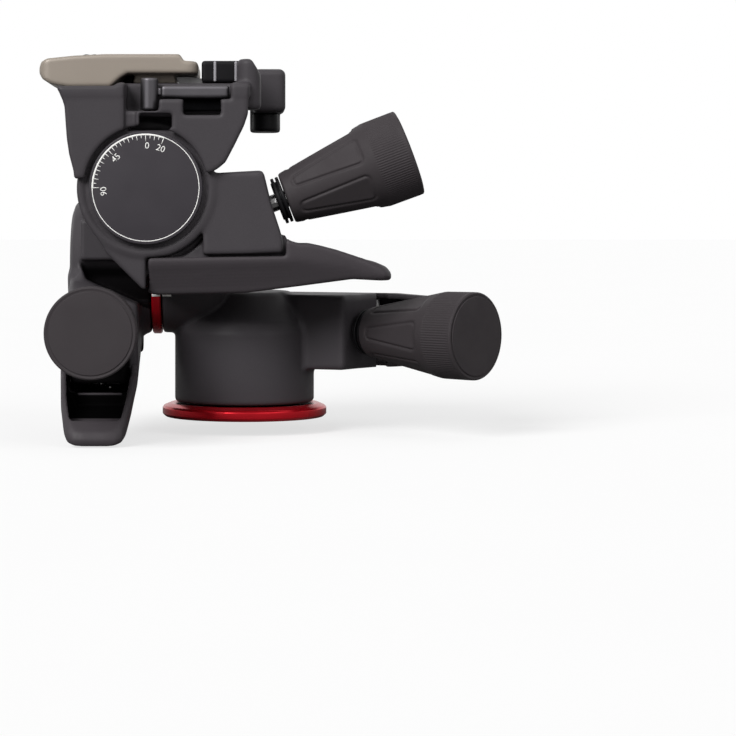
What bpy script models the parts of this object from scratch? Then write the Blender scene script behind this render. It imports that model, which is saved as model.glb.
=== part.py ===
"""Geared tripod head: base, panning housing, side tilting housing, front tilting platform and camera plate.

Three like drive units turn it. In each one a worm on the knob's shaft turns a worm wheel, and a wing lever
under the knob rocks on a pin and draws the worm's carrier away from the wheel, which frees that axis.

Lengths are in metres, +Z is up and the origin is the centre of the base's lower face.
"""

import math

import bmesh
import bpy
from mathutils import Matrix, Vector

# Fits and general allowances
TOUCH_GAP = 0.0003
RUN_GAP = 0.0003
SLIDE_GAP = 0.0005
OVERRUN = 0.003
WELD = 0.000001

# Facets
ROUND_SIDES = 32
KNOB_SIDES = 24
SMALL_SIDES = 16
SHAFT_SIDES = 12
PIN_SIDES = 10
HELPER_PHASE_SHARE = 0.27
SMOOTH_ANGLE = math.radians(35)

# Base
BASE_RADIUS = 0.030
BASE_HEIGHT = 0.005
BASE_CHAMFER = 0.0012
PLATE_RIM_WIDTH = 0.0055
PLATE_HEIGHT = 0.0046
TRIPOD_SCREW_RADIUS = 0.0048
TRIPOD_SCREW_DEPTH = 0.011
INSERT_WALL = 0.0011
SPINDLE_FLANGE_RADIUS = 0.013
SPINDLE_FLANGE_HEIGHT = 0.002
SPINDLE_RADIUS = 0.009

# Gears, the same in each drive unit
GEAR_MODULE = 0.0008
WHEEL_TEETH = 40
WHEEL_WIDTH = 0.006
WHEEL_ADDENDUM = 0.0005
WHEEL_DEDENDUM = 0.0009
TOOTH_TIP_SHARE = 0.28
TOOTH_ROOT_SHARE = 0.50
WORM_PITCH_RADIUS = 0.0045
WORM_ADDENDUM = 0.0006
WORM_DEDENDUM = 0.0009
THREAD_TIP_SHARE = 0.20
THREAD_ROOT_SHARE = 0.40
THREAD_SINK = 0.0003
THREAD_TURNS = 4
THREAD_STEPS_PER_TURN = 8
WHEEL_SEAT_RADIUS = 0.006
NUT_RADIUS = 0.0095
NUT_HEIGHT = 0.0026
NUT_SIDES = 6

# Worm shaft and its carrier
SHAFT_RADIUS = 0.003
JOURNAL_RADIUS = 0.0024
WORM_HALF_LENGTH = 0.0060
SHAFT_END_INSET = 0.0045
CARRIER_REAR = 0.0108
CARRIER_FRONT_INSET = 0.0055
CARRIER_HALF_WIDTH = 0.0065
CARRIER_TOP = 0.0046
CARRIER_BOTTOM = 0.0074
POCKET_HALF_LENGTH = 0.0074
POCKET_BRIDGE = 0.0016
STEM_POSITION = 0.008
STEM_RADIUS = 0.0016
STEM_LENGTH = 0.0093
STEM_HEAD_RADIUS = 0.0032
STEM_HEAD_HEIGHT = 0.0014
CARRIER_TRAVEL = 0.0023

# Knob
KNOB_STAND_OFF = 0.0027
KNOB_SMALL_RADIUS = 0.0091
KNOB_RADIUS = 0.0153
KNOB_TAPER_LENGTH = 0.0325
KNOB_BAND_LENGTH = 0.0130
KNOB_EDGE = 0.0008
KNOB_GROOVES = 8
GROOVE_DEPTH = 0.0008
GROOVE_WIDTH = 0.0020
GROOVE_MARGIN = 0.0030
CAP_RADIUS = 0.0108
CAP_THICKNESS = 0.0010
CAP_RECESS = 0.0013
COLLAR_GAP = 0.0003
COLLAR_RADIUS = 0.0083
COLLAR_GROOVE_RADIUS = 0.0066
COLLAR_RING_WIDTH = 0.0008

# Unit housing, as shares of its reach along the knob's shaft and its depth across it
UNIT_REACH = 0.0423
UNIT_DEPTH = 0.0176
UNIT_HALF_WIDTH = 0.0135
UNIT_OUTLINE_SHARES = (
    (0.544, -0.983),
    (0.913, -0.716),
    (0.983, -0.602),
    (1.000, -0.511),
    (0.890, 0.740),
    (0.858, 0.965),
    (-0.199, 0.080),
    (-0.305, 0.750),
    (-0.496, -0.256),
    (-0.545, -1.193),
    (0.03, -1.08),
)
UNIT_WALL = 0.0035

# Wing lever, as shares of its reach along the shaft and its drop below it
WING_TIP_LENGTH = 0.0276
WING_DROP = 0.0396
WING_OUTLINE_SHARES = (
    (-0.112, 0.115),
    (0.429, 0.389),
    (0.538, 0.469),
    (0.565, 0.359),
    (0.670, 0.460),
    (0.840, 0.669),
    (0.987, 0.889),
    (1.000, 0.939),
    (0.981, 1.000),
    (0.929, 0.967),
    (0.798, 0.866),
    (0.551, 0.765),
    (0.279, 0.652),
    (-0.137, 0.394),
    (-0.176, 0.350),
)
WING_PLAN_SHARES = (
    (-0.207, 1.0),
    (0.572, 1.0),
    (0.787, 0.91),
    (0.901, 0.81),
    (0.959, 0.71),
    (0.991, 0.53),
    (1.006, 0.30),
)
HOLLOW_OUTLINE_SHARES = (
    (-0.4405, -0.130),
    (1.0, -0.130),
    (1.0, 0.695),
    (0.5343, 0.594),
    (-0.2470, 0.338),
    (-0.4405, 0.240),
)
WING_WALL = 0.0022
PIVOT_INSET = 0.0123
HOLLOW_PAST_PIVOT = 0.0065
PIVOT_DROP_SHARE = 0.4924
LUG_THICKNESS = 0.0034
LUG_RADIUS = 0.0036
LUG_INSET = 0.0004
PIVOT_PIN_RADIUS = 0.0015
PIN_BLIND_DEPTH = 0.0014
RIB_HALF_LENGTH = 0.0045
RIB_THICKNESS = 0.0017
SPRING_WIRE_RADIUS = 0.0004
SPRING_TURNS = 4
SPRING_STEPS_PER_TURN = 6
SPRING_HALF_LENGTH = 0.0035
SPRING_LEG = 0.0042

# Pan housing and its side barrel
PAN_RADIUS = 0.02545
PAN_CLEARANCE = 0.0004
SHOULDER_START = 0.0310
SHOULDER_MIDDLE = 0.0350
SHOULDER_MIDDLE_RADIUS = 0.0243
SHOULDER_TOP = 0.0456
SHOULDER_TOP_RADIUS = 0.0172
SHOULDER_EDGE = 0.0012
PAN_UNIT_ANGLE = math.radians(42)
PAN_UNIT_HEIGHT = 0.0313
BARREL_RADIUS = 0.0245
BARREL_RIGHT = -0.0040
BARREL_LEFT = -0.0297
BARREL_DOME = 0.0060
ROLL_AXIS_HEIGHT = 0.055
ROLL_RING_PROUD = 0.0004
ROLL_RING_WALL = 0.0045
ROLL_RING_WIDTH = 0.0037
ROLL_RING_CHAMFER = 0.0006

# Side tilting housing
ROLL_LEFT = -0.0640
ROLL_END_ROUND = 0.0050
ROLL_UNIT_X = -0.0510
PAD_GAP = 0.0007
PAD_RISE = 0.0170
PAD_FALL = 0.0070
PAD_LEFT = -0.0585
PAD_DEPTH = 0.0120
PAD_INSET = 0.0006

# Front tilting unit
TILT_AXIS_X = -0.034
TILT_LEVER_CLEARANCE = 0.0020
TILT_UNIT_SLOPE = math.radians(20.6)
BOSS_RADIUS = 0.0240
BOSS_PROUD = 0.0004
RELIEF_DEPTH = 0.0024
RELIEF_HEIGHT = 0.0036
DIAL_RADIUS = 0.0197
DIAL_THICKNESS = 0.0026
DIAL_SPIGOT_RADIUS = 0.0150
DIAL_SPIGOT_DEPTH = 0.0040
HOUSING_SCREW_RADIUS = 0.0015
HOUSING_SCREW_HEAD_RADIUS = 0.0025
HOUSING_SCREW_HEAD_HEIGHT = 0.0024
HOUSING_SCREW_SINK = 0.0007
HOUSING_SCREW_REACH = 0.0160
HOUSING_SCREW_CIRCLE = 0.0140
HOUSING_SCREW_ANGLES = (math.radians(239), math.radians(262))

# Platform
DECK_LEFT = -0.0655
DECK_RIGHT = 0.0020
WALL_CLEARANCE = 0.0004
DECK_FAR = 0.0140
DECK_THICKNESS = 0.0050
WALL_THICKNESS = 0.0030
WALL_PROUD = 0.0004
WALL_GAP_RADIUS = 0.0213
WALL_LEFT_SHARES = ((0.0, 0.0), (0.086, 0.40), (0.112, 0.62), (0.18, 0.86), (0.19, 1.0))
WALL_END_RISE = 0.0035
WALL_RIGHT_SHARES = (
    (0.802, 0.936),
    (0.840, 0.894),
    (0.879, 0.827),
    (0.922, 0.661),
    (0.973, 0.452),
    (0.994, 0.327),
    (1.0, 0.0),
)
WALL_ARC_STEPS = 14
ARM_HALF_WIDTH = 0.0095
ARM_GAP = 0.0008
ARM_THICKNESS = 0.0076
ARM_INSET = 0.0004
ARM_CLEARANCE = 0.00244
AXLE_NUT_HEIGHT = 0.0026
BAR_POCKET_FALL = 0.0050
TRAY_CLEARANCE = 0.0007
BAR_POCKET_WALL = 0.0018
BAR_POCKET_LEFT = -0.0400
BAR_POCKET_RIGHT = -0.0060
BAR_POCKET_DEPTH = 0.0105
WINDOW_LEFT = -0.0370
WINDOW_RIGHT = -0.0255
WINDOW_FALL = 0.0020
WINDOW_HEIGHT = 0.0025

# Camera plate and its dovetail
PLATE_LEFT = -0.0720
PLATE_RIGHT = -0.0160
PLATE_STEP_X = -0.0210
PLATE_SETBACK = 0.0108
PLATE_FAR = 0.0055
PLATE_RISE = 0.0037
PLATE_THICKNESS = 0.0065
PLATE_STEP_HEIGHT = 0.0021
PLATE_CORNER = 0.0055
FOOT_LEFT = -0.0690
FOOT_RIGHT = -0.0465
FOOT_FLANK = 0.0050
PAD_HEIGHT = 0.0008
PAD_MARGIN = 0.0040
RAIL_LEFT = -0.0395
RAIL_RIGHT = -0.0235
RAIL_UNDERCUT = 0.0012
RAIL_HEIGHT = 0.0029
JAW_WIDTH = 0.0040
JAW_GAP = 0.0003
JAW_HEIGHT = 0.0032
JAW_SLIDE_RIGHT = -0.0085
JAW_NEAR = -0.0270
JAW_FAR = -0.0010
CAMERA_SCREW_RADIUS = 0.00315
CAMERA_SCREW_HEAD_RADIUS = 0.0062
CAMERA_SCREW_HEAD_HEIGHT = 0.0018
CAMERA_SCREW_SLOT = 0.0012
CAMERA_SCREW_DEEPENING = 0.0030

# Safety catch
CATCH_POST_RADIUS = 0.0026
CATCH_POST_X = -0.0335
CATCH_POST_SETBACK = 0.0058
CATCH_POST_RISE = 0.0030
CATCH_BAR_RADIUS = 0.0023
CATCH_BAR_FALL = 0.0023
CATCH_BAR_RIGHT = -0.0080
CATCH_PIN_RADIUS = 0.0011

# Clamp lever
LEVER_AXIS_X = 0.0075
LEVER_AXIS_Y = -0.0060
LEVER_RIGHT = 0.0146
LEVER_LEFT = 0.0028
LEVER_NEAR = -0.0280
LEVER_FALL = 0.0047
LEVER_RISE = 0.0052
LEVER_STEM_LENGTH = 0.0063
LEVER_STEM_RADIUS = 0.0046
LEVER_CORNER = 0.0030
LEVER_BOLT_RADIUS = 0.0025
BRACKET_HALF_WIDTH = 0.0055
BRACKET_INSET = 0.0003
CORNER_POST_RADIUS = 0.0042
CORNER_POST_INSET = 0.0004
CORNER_POST_SETBACK = 0.0083
CORNER_POST_FALL = 0.0036
CORNER_POST_RISE = 0.0082

# Levels
LEVEL_LEFT = -0.0150
LEVEL_RIGHT = -0.0012
LEVEL_SETBACK = 0.0133
LEVEL_DEPTH = 0.0120
LEVEL_RISE = 0.0080
VIAL_RADIUS = 0.0030
VIAL_WINDOW = 0.0036
VIAL_END_WALL = 0.0012

# Derived sizes
WHEEL_PITCH_RADIUS = GEAR_MODULE * WHEEL_TEETH / 2
WHEEL_TIP_RADIUS = WHEEL_PITCH_RADIUS + WHEEL_ADDENDUM
GEAR_CENTRES = WHEEL_PITCH_RADIUS + WORM_PITCH_RADIUS
THREAD_PITCH = math.pi * GEAR_MODULE
WORM_CORE_RADIUS = WORM_PITCH_RADIUS - WORM_DEDENDUM
WHEEL_CAVITY_RADIUS = WHEEL_TIP_RADIUS + 2 * RUN_GAP
WHEEL_HALF = WHEEL_WIDTH / 2
CAVITY_HALF = WHEEL_HALF + 3 * RUN_GAP
INSERT_RADIUS = TRIPOD_SCREW_RADIUS + INSERT_WALL
WING_INNER_HALF = UNIT_HALF_WIDTH - WING_WALL
RIB_TOP = CARRIER_BOTTOM + STEM_LENGTH - STEM_HEAD_HEIGHT - TOUCH_GAP - RIB_THICKNESS
RIB_BOTTOM = RIB_TOP + RIB_THICKNESS
CARRIER_FRONT = UNIT_REACH - CARRIER_FRONT_INSET
KNOB_START = UNIT_REACH + KNOB_STAND_OFF
KNOB_TAPER_END = KNOB_START + KNOB_TAPER_LENGTH
KNOB_END = KNOB_TAPER_END + KNOB_BAND_LENGTH
SHAFT_END = KNOB_END - SHAFT_END_INSET
COLLAR_START = UNIT_REACH + COLLAR_GAP
ROLL_RING_RADIUS = BARREL_RADIUS + ROLL_RING_PROUD
ROLL_RING_BORE = BARREL_RADIUS - ROLL_RING_WALL
KNOB_SLOPE = math.atan2(KNOB_RADIUS - KNOB_SMALL_RADIUS, KNOB_TAPER_END - KNOB_START)
TILT_UNIT_Y = -BARREL_RADIUS - TILT_LEVER_CLEARANCE - UNIT_HALF_WIDTH
TILT_UNIT_FRONT = TILT_UNIT_Y - UNIT_HALF_WIDTH - BOSS_PROUD
TILT_UNIT_BACK = TILT_UNIT_Y + UNIT_HALF_WIDTH - BOSS_PROUD
PAD_FRONT = TILT_UNIT_BACK + PAD_GAP
ARM_FRONT = TILT_UNIT_BACK + ARM_GAP
DECK_NEAR = TILT_UNIT_FRONT - WALL_CLEARANCE - WALL_THICKNESS
PLATE_NEAR = DECK_NEAR + PLATE_SETBACK
CATCH_POST_Y = DECK_NEAR + CATCH_POST_SETBACK
LEVEL_NEAR = DECK_NEAR + LEVEL_SETBACK
LEVEL_FAR = LEVEL_NEAR + LEVEL_DEPTH
ARM_BACK = ARM_FRONT + ARM_THICKNESS
WING_REACH = UNIT_REACH + WING_TIP_LENGTH
PIVOT_U = UNIT_REACH - PIVOT_INSET
HOLLOW_LENGTH = PIVOT_U + HOLLOW_PAST_PIVOT
PLATE_RADIUS = BASE_RADIUS - PLATE_RIM_WIDTH
PIVOT_V = PIVOT_DROP_SHARE * WING_DROP
PAD_TOP = ROLL_AXIS_HEIGHT + PAD_RISE
PAD_BOTTOM = ROLL_AXIS_HEIGHT - PAD_FALL
BARREL_RISE_AT_ARM = math.sqrt(BARREL_RADIUS**2 - ARM_BACK**2)
TILT_AXIS_HEIGHT = ROLL_AXIS_HEIGHT + BARREL_RISE_AT_ARM + ARM_HALF_WIDTH + ARM_CLEARANCE
TRAY_BOTTOM = TILT_AXIS_HEIGHT + BOSS_RADIUS + TRAY_CLEARANCE
BAR_POCKET_BOTTOM = TRAY_BOTTOM + BAR_POCKET_WALL
DECK_BOTTOM = BAR_POCKET_BOTTOM + BAR_POCKET_FALL
DECK_TOP = DECK_BOTTOM + DECK_THICKNESS
WALL_DROP = DECK_TOP - TILT_AXIS_HEIGHT - WALL_END_RISE
WINDOW_TOP = BAR_POCKET_BOTTOM - WINDOW_FALL
WINDOW_BOTTOM = WINDOW_TOP - WINDOW_HEIGHT
PLATE_BOTTOM = DECK_TOP + PLATE_RISE
PLATE_TOP = PLATE_BOTTOM + PLATE_THICKNESS
PLATE_STEP_TOP = PLATE_TOP - PLATE_STEP_HEIGHT
CATCH_POST_TOP = DECK_TOP + CATCH_POST_RISE
CATCH_BAR_HEIGHT = DECK_TOP - CATCH_BAR_FALL
LEVER_BOTTOM = DECK_BOTTOM - LEVER_FALL
LEVER_TOP = DECK_TOP + LEVER_RISE
LEVER_STEM_BOTTOM = LEVER_BOTTOM - LEVER_STEM_LENGTH
LEVEL_TOP = DECK_TOP + LEVEL_RISE

for leftover in list(bpy.data.objects):
    bpy.data.objects.remove(leftover, do_unlink=True)

PARTS = bpy.data.collections.new("geared_tripod_head")
CUTTERS = bpy.data.collections.new("cutters")
bpy.context.scene.collection.children.link(PARTS)
bpy.context.scene.collection.children.link(CUTTERS)


def look(name, colour, roughness, metallic):
    """A Principled material."""
    material = bpy.data.materials.new(name)
    material.use_nodes = True
    shader = material.node_tree.nodes["Principled BSDF"]
    shader.inputs["Base Color"].default_value = (*colour, 1.0)
    shader.inputs["Roughness"].default_value = roughness
    shader.inputs["Metallic"].default_value = metallic
    return material


CASTING = look("charcoal_casting", (0.032, 0.029, 0.033), 0.45, 0.3)
RED = look("red_anodised", (0.45, 0.008, 0.016), 0.3, 0.8)
RUBBER = look("knob_rubber", (0.030, 0.028, 0.031), 0.6, 0.0)
PLASTIC = look("black_plastic", (0.018, 0.017, 0.019), 0.5, 0.0)
WING = look("wing_plastic", (0.030, 0.027, 0.031), 0.42, 0.0)
STEEL = look("steel", (0.42, 0.42, 0.43), 0.35, 1.0)
BRASS = look("brass", (0.60, 0.42, 0.16), 0.3, 1.0)
BRONZE = look("bronze_bush", (0.36, 0.22, 0.10), 0.4, 1.0)
CAMERA_PLATE = look("warm_grey_alloy", (0.28, 0.25, 0.22), 0.4, 0.6)
PAD = look("plate_pad", (0.02, 0.02, 0.02), 0.8, 0.0)
DIAL = look("dial_face", (0.030, 0.027, 0.031), 0.4, 0.2)
LIQUID = look("level_liquid", (0.45, 0.55, 0.06), 0.1, 0.0)


def frame_empty(name, origin, matrix=None):
    """An empty that carries a group of pieces in one local frame."""
    empty = bpy.data.objects.new(name, None)
    PARTS.objects.link(empty)
    empty.location = origin
    if matrix is not None:
        empty.rotation_mode = "QUATERNION"
        empty.rotation_quaternion = matrix.to_quaternion()
    return empty


def add_object(name, mesh, frame, material=None):
    """A piece in a frame, or a hidden helper shape when it has no material."""
    piece = bpy.data.objects.new(name, mesh)
    piece.parent = frame
    if material is None:
        CUTTERS.objects.link(piece)
        piece.hide_render = True
        piece.display_type = "WIRE"
    else:
        PARTS.objects.link(piece)
        mesh.materials.append(material)
    return piece


def smooth(mesh):
    """Shades a mesh smooth but for its sharp edges."""
    mesh.shade_smooth()
    mesh.set_sharp_from_angle(angle=SMOOTH_ANGLE)


def mesh_of(name, shape):
    """Turns a finished bmesh into a mesh."""
    bmesh.ops.recalc_face_normals(shape, faces=shape.faces)
    mesh = bpy.data.meshes.new(name)
    shape.to_mesh(mesh)
    shape.free()
    smooth(mesh)
    return mesh


def tongue_outline(left, radius):
    """The outline in plan of a tongue that is square at its left and round about the clamp lever's axis."""
    outline = [(left, LEVER_AXIS_Y - radius)]
    for step in range(SHAFT_SIDES):
        angle = math.pi * ((step + HELPER_PHASE_SHARE) / SHAFT_SIDES - 1 / 2)
        outline.append((LEVER_AXIS_X + radius * math.cos(angle), LEVER_AXIS_Y + radius * math.sin(angle)))
    outline.append((left, LEVER_AXIS_Y + radius))
    return outline


def block(name, low, high, frame, material=None, rounding=None, segments=2):
    """A box between two corners, with its edges rounded when a radius is given."""
    low = Vector(low)
    high = Vector(high)
    shape = bmesh.new()
    bmesh.ops.create_cube(shape, size=1.0)
    bmesh.ops.scale(shape, vec=high - low, verts=shape.verts)
    piece = add_object(name, mesh_of(name, shape), frame, material)
    piece.location = (low + high) / 2
    if rounding is not None:
        bevel = piece.modifiers.new("rounding", "BEVEL")
        bevel.width = rounding
        bevel.segments = segments
    return piece


def rod(name, radius, start, end, frame, material=None, sides=SMALL_SIDES):
    """A cylinder between two points, with its origin at the first."""
    start = Vector(start)
    run = Vector(end) - start
    shape = bmesh.new()
    bmesh.ops.create_cone(
        shape, cap_ends=True, segments=sides, radius1=radius, radius2=radius, depth=run.length
    )
    bmesh.ops.translate(shape, vec=(0, 0, run.length / 2), verts=shape.verts)
    if material is None:
        phase = Matrix.Rotation(2 * math.pi * HELPER_PHASE_SHARE / sides, 3, "Z")
        bmesh.ops.rotate(shape, matrix=phase, verts=shape.verts)
    piece = add_object(name, mesh_of(name, shape), frame, material)
    piece.location = start
    piece.rotation_mode = "QUATERNION"
    piece.rotation_quaternion = run.to_track_quat("Z", "Y")
    return piece


def turned(name, outer, start, direction, frame, material=None, inner=None, sides=ROUND_SIDES):
    """A profile of (distance along the axis, radius) points, turned about an axis from start.

    The inner side is solid up to the axis, a bore of one radius, or a list of points like the outer side.
    """
    profile = [(radius, along) for along, radius in reversed(outer)]
    if inner is None:
        profile = [(0, outer[-1][0]), *profile, (0, outer[0][0])]
    elif isinstance(inner, float):
        profile = [*profile, (inner, outer[0][0]), (inner, outer[-1][0])]
    else:
        profile = [*profile, *((radius, along) for along, radius in inner)]
    is_ring = profile[0][0] > 0
    shape = bmesh.new()
    points = [shape.verts.new((radius, 0, along)) for radius, along in profile]
    for first, second in zip(points, points[1:]):
        shape.edges.new((first, second))
    if is_ring:
        shape.edges.new((points[-1], points[0]))
    if material is None:
        phase = Matrix.Rotation(2 * math.pi * HELPER_PHASE_SHARE / sides, 3, "Z")
        bmesh.ops.rotate(shape, matrix=phase, verts=shape.verts)
    mesh = bpy.data.meshes.new(name)
    shape.to_mesh(mesh)
    shape.free()
    piece = add_object(name, mesh, frame, material)
    piece.location = start
    piece.rotation_mode = "QUATERNION"
    piece.rotation_quaternion = Vector(direction).to_track_quat("Z", "Y")
    screw = piece.modifiers.new("turn", "SCREW")
    screw.steps = sides
    screw.render_steps = sides
    screw.use_merge_vertices = True
    screw.merge_threshold = WELD
    screw.use_smooth_shade = True
    return piece


def prism_mesh(name, low, high, *outlines):
    """A flat outline in the local XY plane, with any holes, swept from one height to another."""
    curve = bpy.data.curves.new(name, "CURVE")
    curve.dimensions = "2D"
    curve.fill_mode = "BOTH"
    curve.extrude = (high - low) / 2
    for outline in outlines:
        spline = curve.splines.new("POLY")
        spline.points.add(len(outline) - 1)
        for point, (x, y) in zip(spline.points, outline):
            point.co = (x, y, 0, 1)
        spline.use_cyclic_u = True
    return welded_mesh(curve, (low + high) / 2)


def welded_mesh(curve, lift=0):
    """The mesh of a curve with its caps welded, raised along the local Z axis."""
    guide = bpy.data.objects.new(curve.name, curve)
    CUTTERS.objects.link(guide)
    bpy.context.view_layer.update()
    graph = bpy.context.evaluated_depsgraph_get()
    mesh = bpy.data.meshes.new_from_object(guide.evaluated_get(graph))
    bpy.data.objects.remove(guide, do_unlink=True)
    shape = bmesh.new()
    shape.from_mesh(mesh)
    bmesh.ops.remove_doubles(shape, verts=shape.verts, dist=WELD)
    bmesh.ops.recalc_face_normals(shape, faces=shape.faces)
    bmesh.ops.translate(shape, vec=(0, 0, lift), verts=shape.verts)
    shape.to_mesh(mesh)
    shape.free()
    smooth(mesh)
    return mesh


def prism(name, outline, low, high, frame, material=None):
    """An outline swept along its frame's Z axis."""
    return add_object(name, prism_mesh(name, low, high, outline), frame, material)


def combine(piece, helper, operation):
    """A Boolean with a helper shape."""
    boolean = piece.modifiers.new(helper.name, "BOOLEAN")
    boolean.operation = operation
    boolean.object = helper


def cut(piece, *helpers):
    """Cuts each helper shape from a piece."""
    for helper in helpers:
        combine(piece, helper, "DIFFERENCE")


def join(piece, *helpers):
    """Makes each helper shape part of a piece."""
    for helper in helpers:
        combine(piece, helper, "UNION")


def scaled(shares, along, across):
    """An outline from shares of two sizes."""
    return [(share * along, other * across) for share, other in shares]


def gear_mesh(name):
    """Worm wheel teeth round local Z: a tooth gap faces +Y, and the teeth lean with the worm's thread."""
    step = 2 * math.pi / WHEEL_TEETH
    tip = WHEEL_TIP_RADIUS
    root = WHEEL_PITCH_RADIUS - WHEEL_DEDENDUM
    seat = WHEEL_SEAT_RADIUS + TOUCH_GAP
    outline = []
    for tooth in range(WHEEL_TEETH):
        middle = math.pi / 2 + (tooth + 1 / 2) * step
        for radius, share in (
            (root, -TOOTH_ROOT_SHARE),
            (tip, -TOOTH_TIP_SHARE),
            (tip, TOOTH_TIP_SHARE),
            (root, TOOTH_ROOT_SHARE),
        ):
            angle = middle + share * step / 2
            outline.append((radius * math.cos(angle), radius * math.sin(angle)))
    turns = [2 * math.pi * side / SMALL_SIDES for side in range(SMALL_SIDES)]
    bore = [(seat * math.cos(angle), seat * math.sin(angle)) for angle in turns]
    mesh = prism_mesh(name, -WHEEL_HALF, WHEEL_HALF, outline, bore)
    lean = THREAD_PITCH / (2 * math.pi * WORM_PITCH_RADIUS * WHEEL_PITCH_RADIUS)
    for vertex in mesh.vertices:
        vertex.co.rotate(Matrix.Rotation(lean * vertex.co.z, 3, "Z"))
    return mesh


def worm_wheel(name, frame, material):
    """A worm wheel on the unit's wheel axis, bored for its seat."""
    wheel = add_object(name, gear_mesh(name), frame, material)
    wheel.location = (0, -GEAR_CENTRES, 0)
    return wheel


def thread_helper(name, frame):
    """The worm's thread: a trapezoid carried along a right-handed helix about local X."""
    base = WORM_CORE_RADIUS - THREAD_SINK
    crest = WORM_PITCH_RADIUS + WORM_ADDENDUM
    turns = THREAD_TURNS
    steps = turns * THREAD_STEPS_PER_TURN
    first = -turns * THREAD_PITCH / 2
    shape = bmesh.new()
    corners = [
        shape.verts.new((first - THREAD_ROOT_SHARE * THREAD_PITCH / 2, -base, 0)),
        shape.verts.new((first - THREAD_TIP_SHARE * THREAD_PITCH / 2, -crest, 0)),
        shape.verts.new((first + THREAD_TIP_SHARE * THREAD_PITCH / 2, -crest, 0)),
        shape.verts.new((first + THREAD_ROOT_SHARE * THREAD_PITCH / 2, -base, 0)),
    ]
    face = shape.faces.new(corners)
    if turns % 2:
        bmesh.ops.rotate(shape, matrix=Matrix.Rotation(math.pi, 3, "X"), verts=corners)
    bmesh.ops.spin(
        shape,
        geom=[face, *face.edges, *face.verts],
        cent=(0, 0, 0),
        axis=(1, 0, 0),
        dvec=(THREAD_PITCH / THREAD_STEPS_PER_TURN, 0, 0),
        angle=2 * math.pi * turns,
        steps=steps,
    )
    phase = 2 * math.pi * HELPER_PHASE_SHARE / SHAFT_SIDES
    bmesh.ops.rotate(shape, matrix=Matrix.Rotation(phase, 3, "X"), verts=shape.verts)
    bmesh.ops.translate(shape, vec=(THREAD_PITCH * phase / (2 * math.pi), 0, 0), verts=shape.verts)
    return add_object(name, mesh_of(name, shape), frame)


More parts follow.
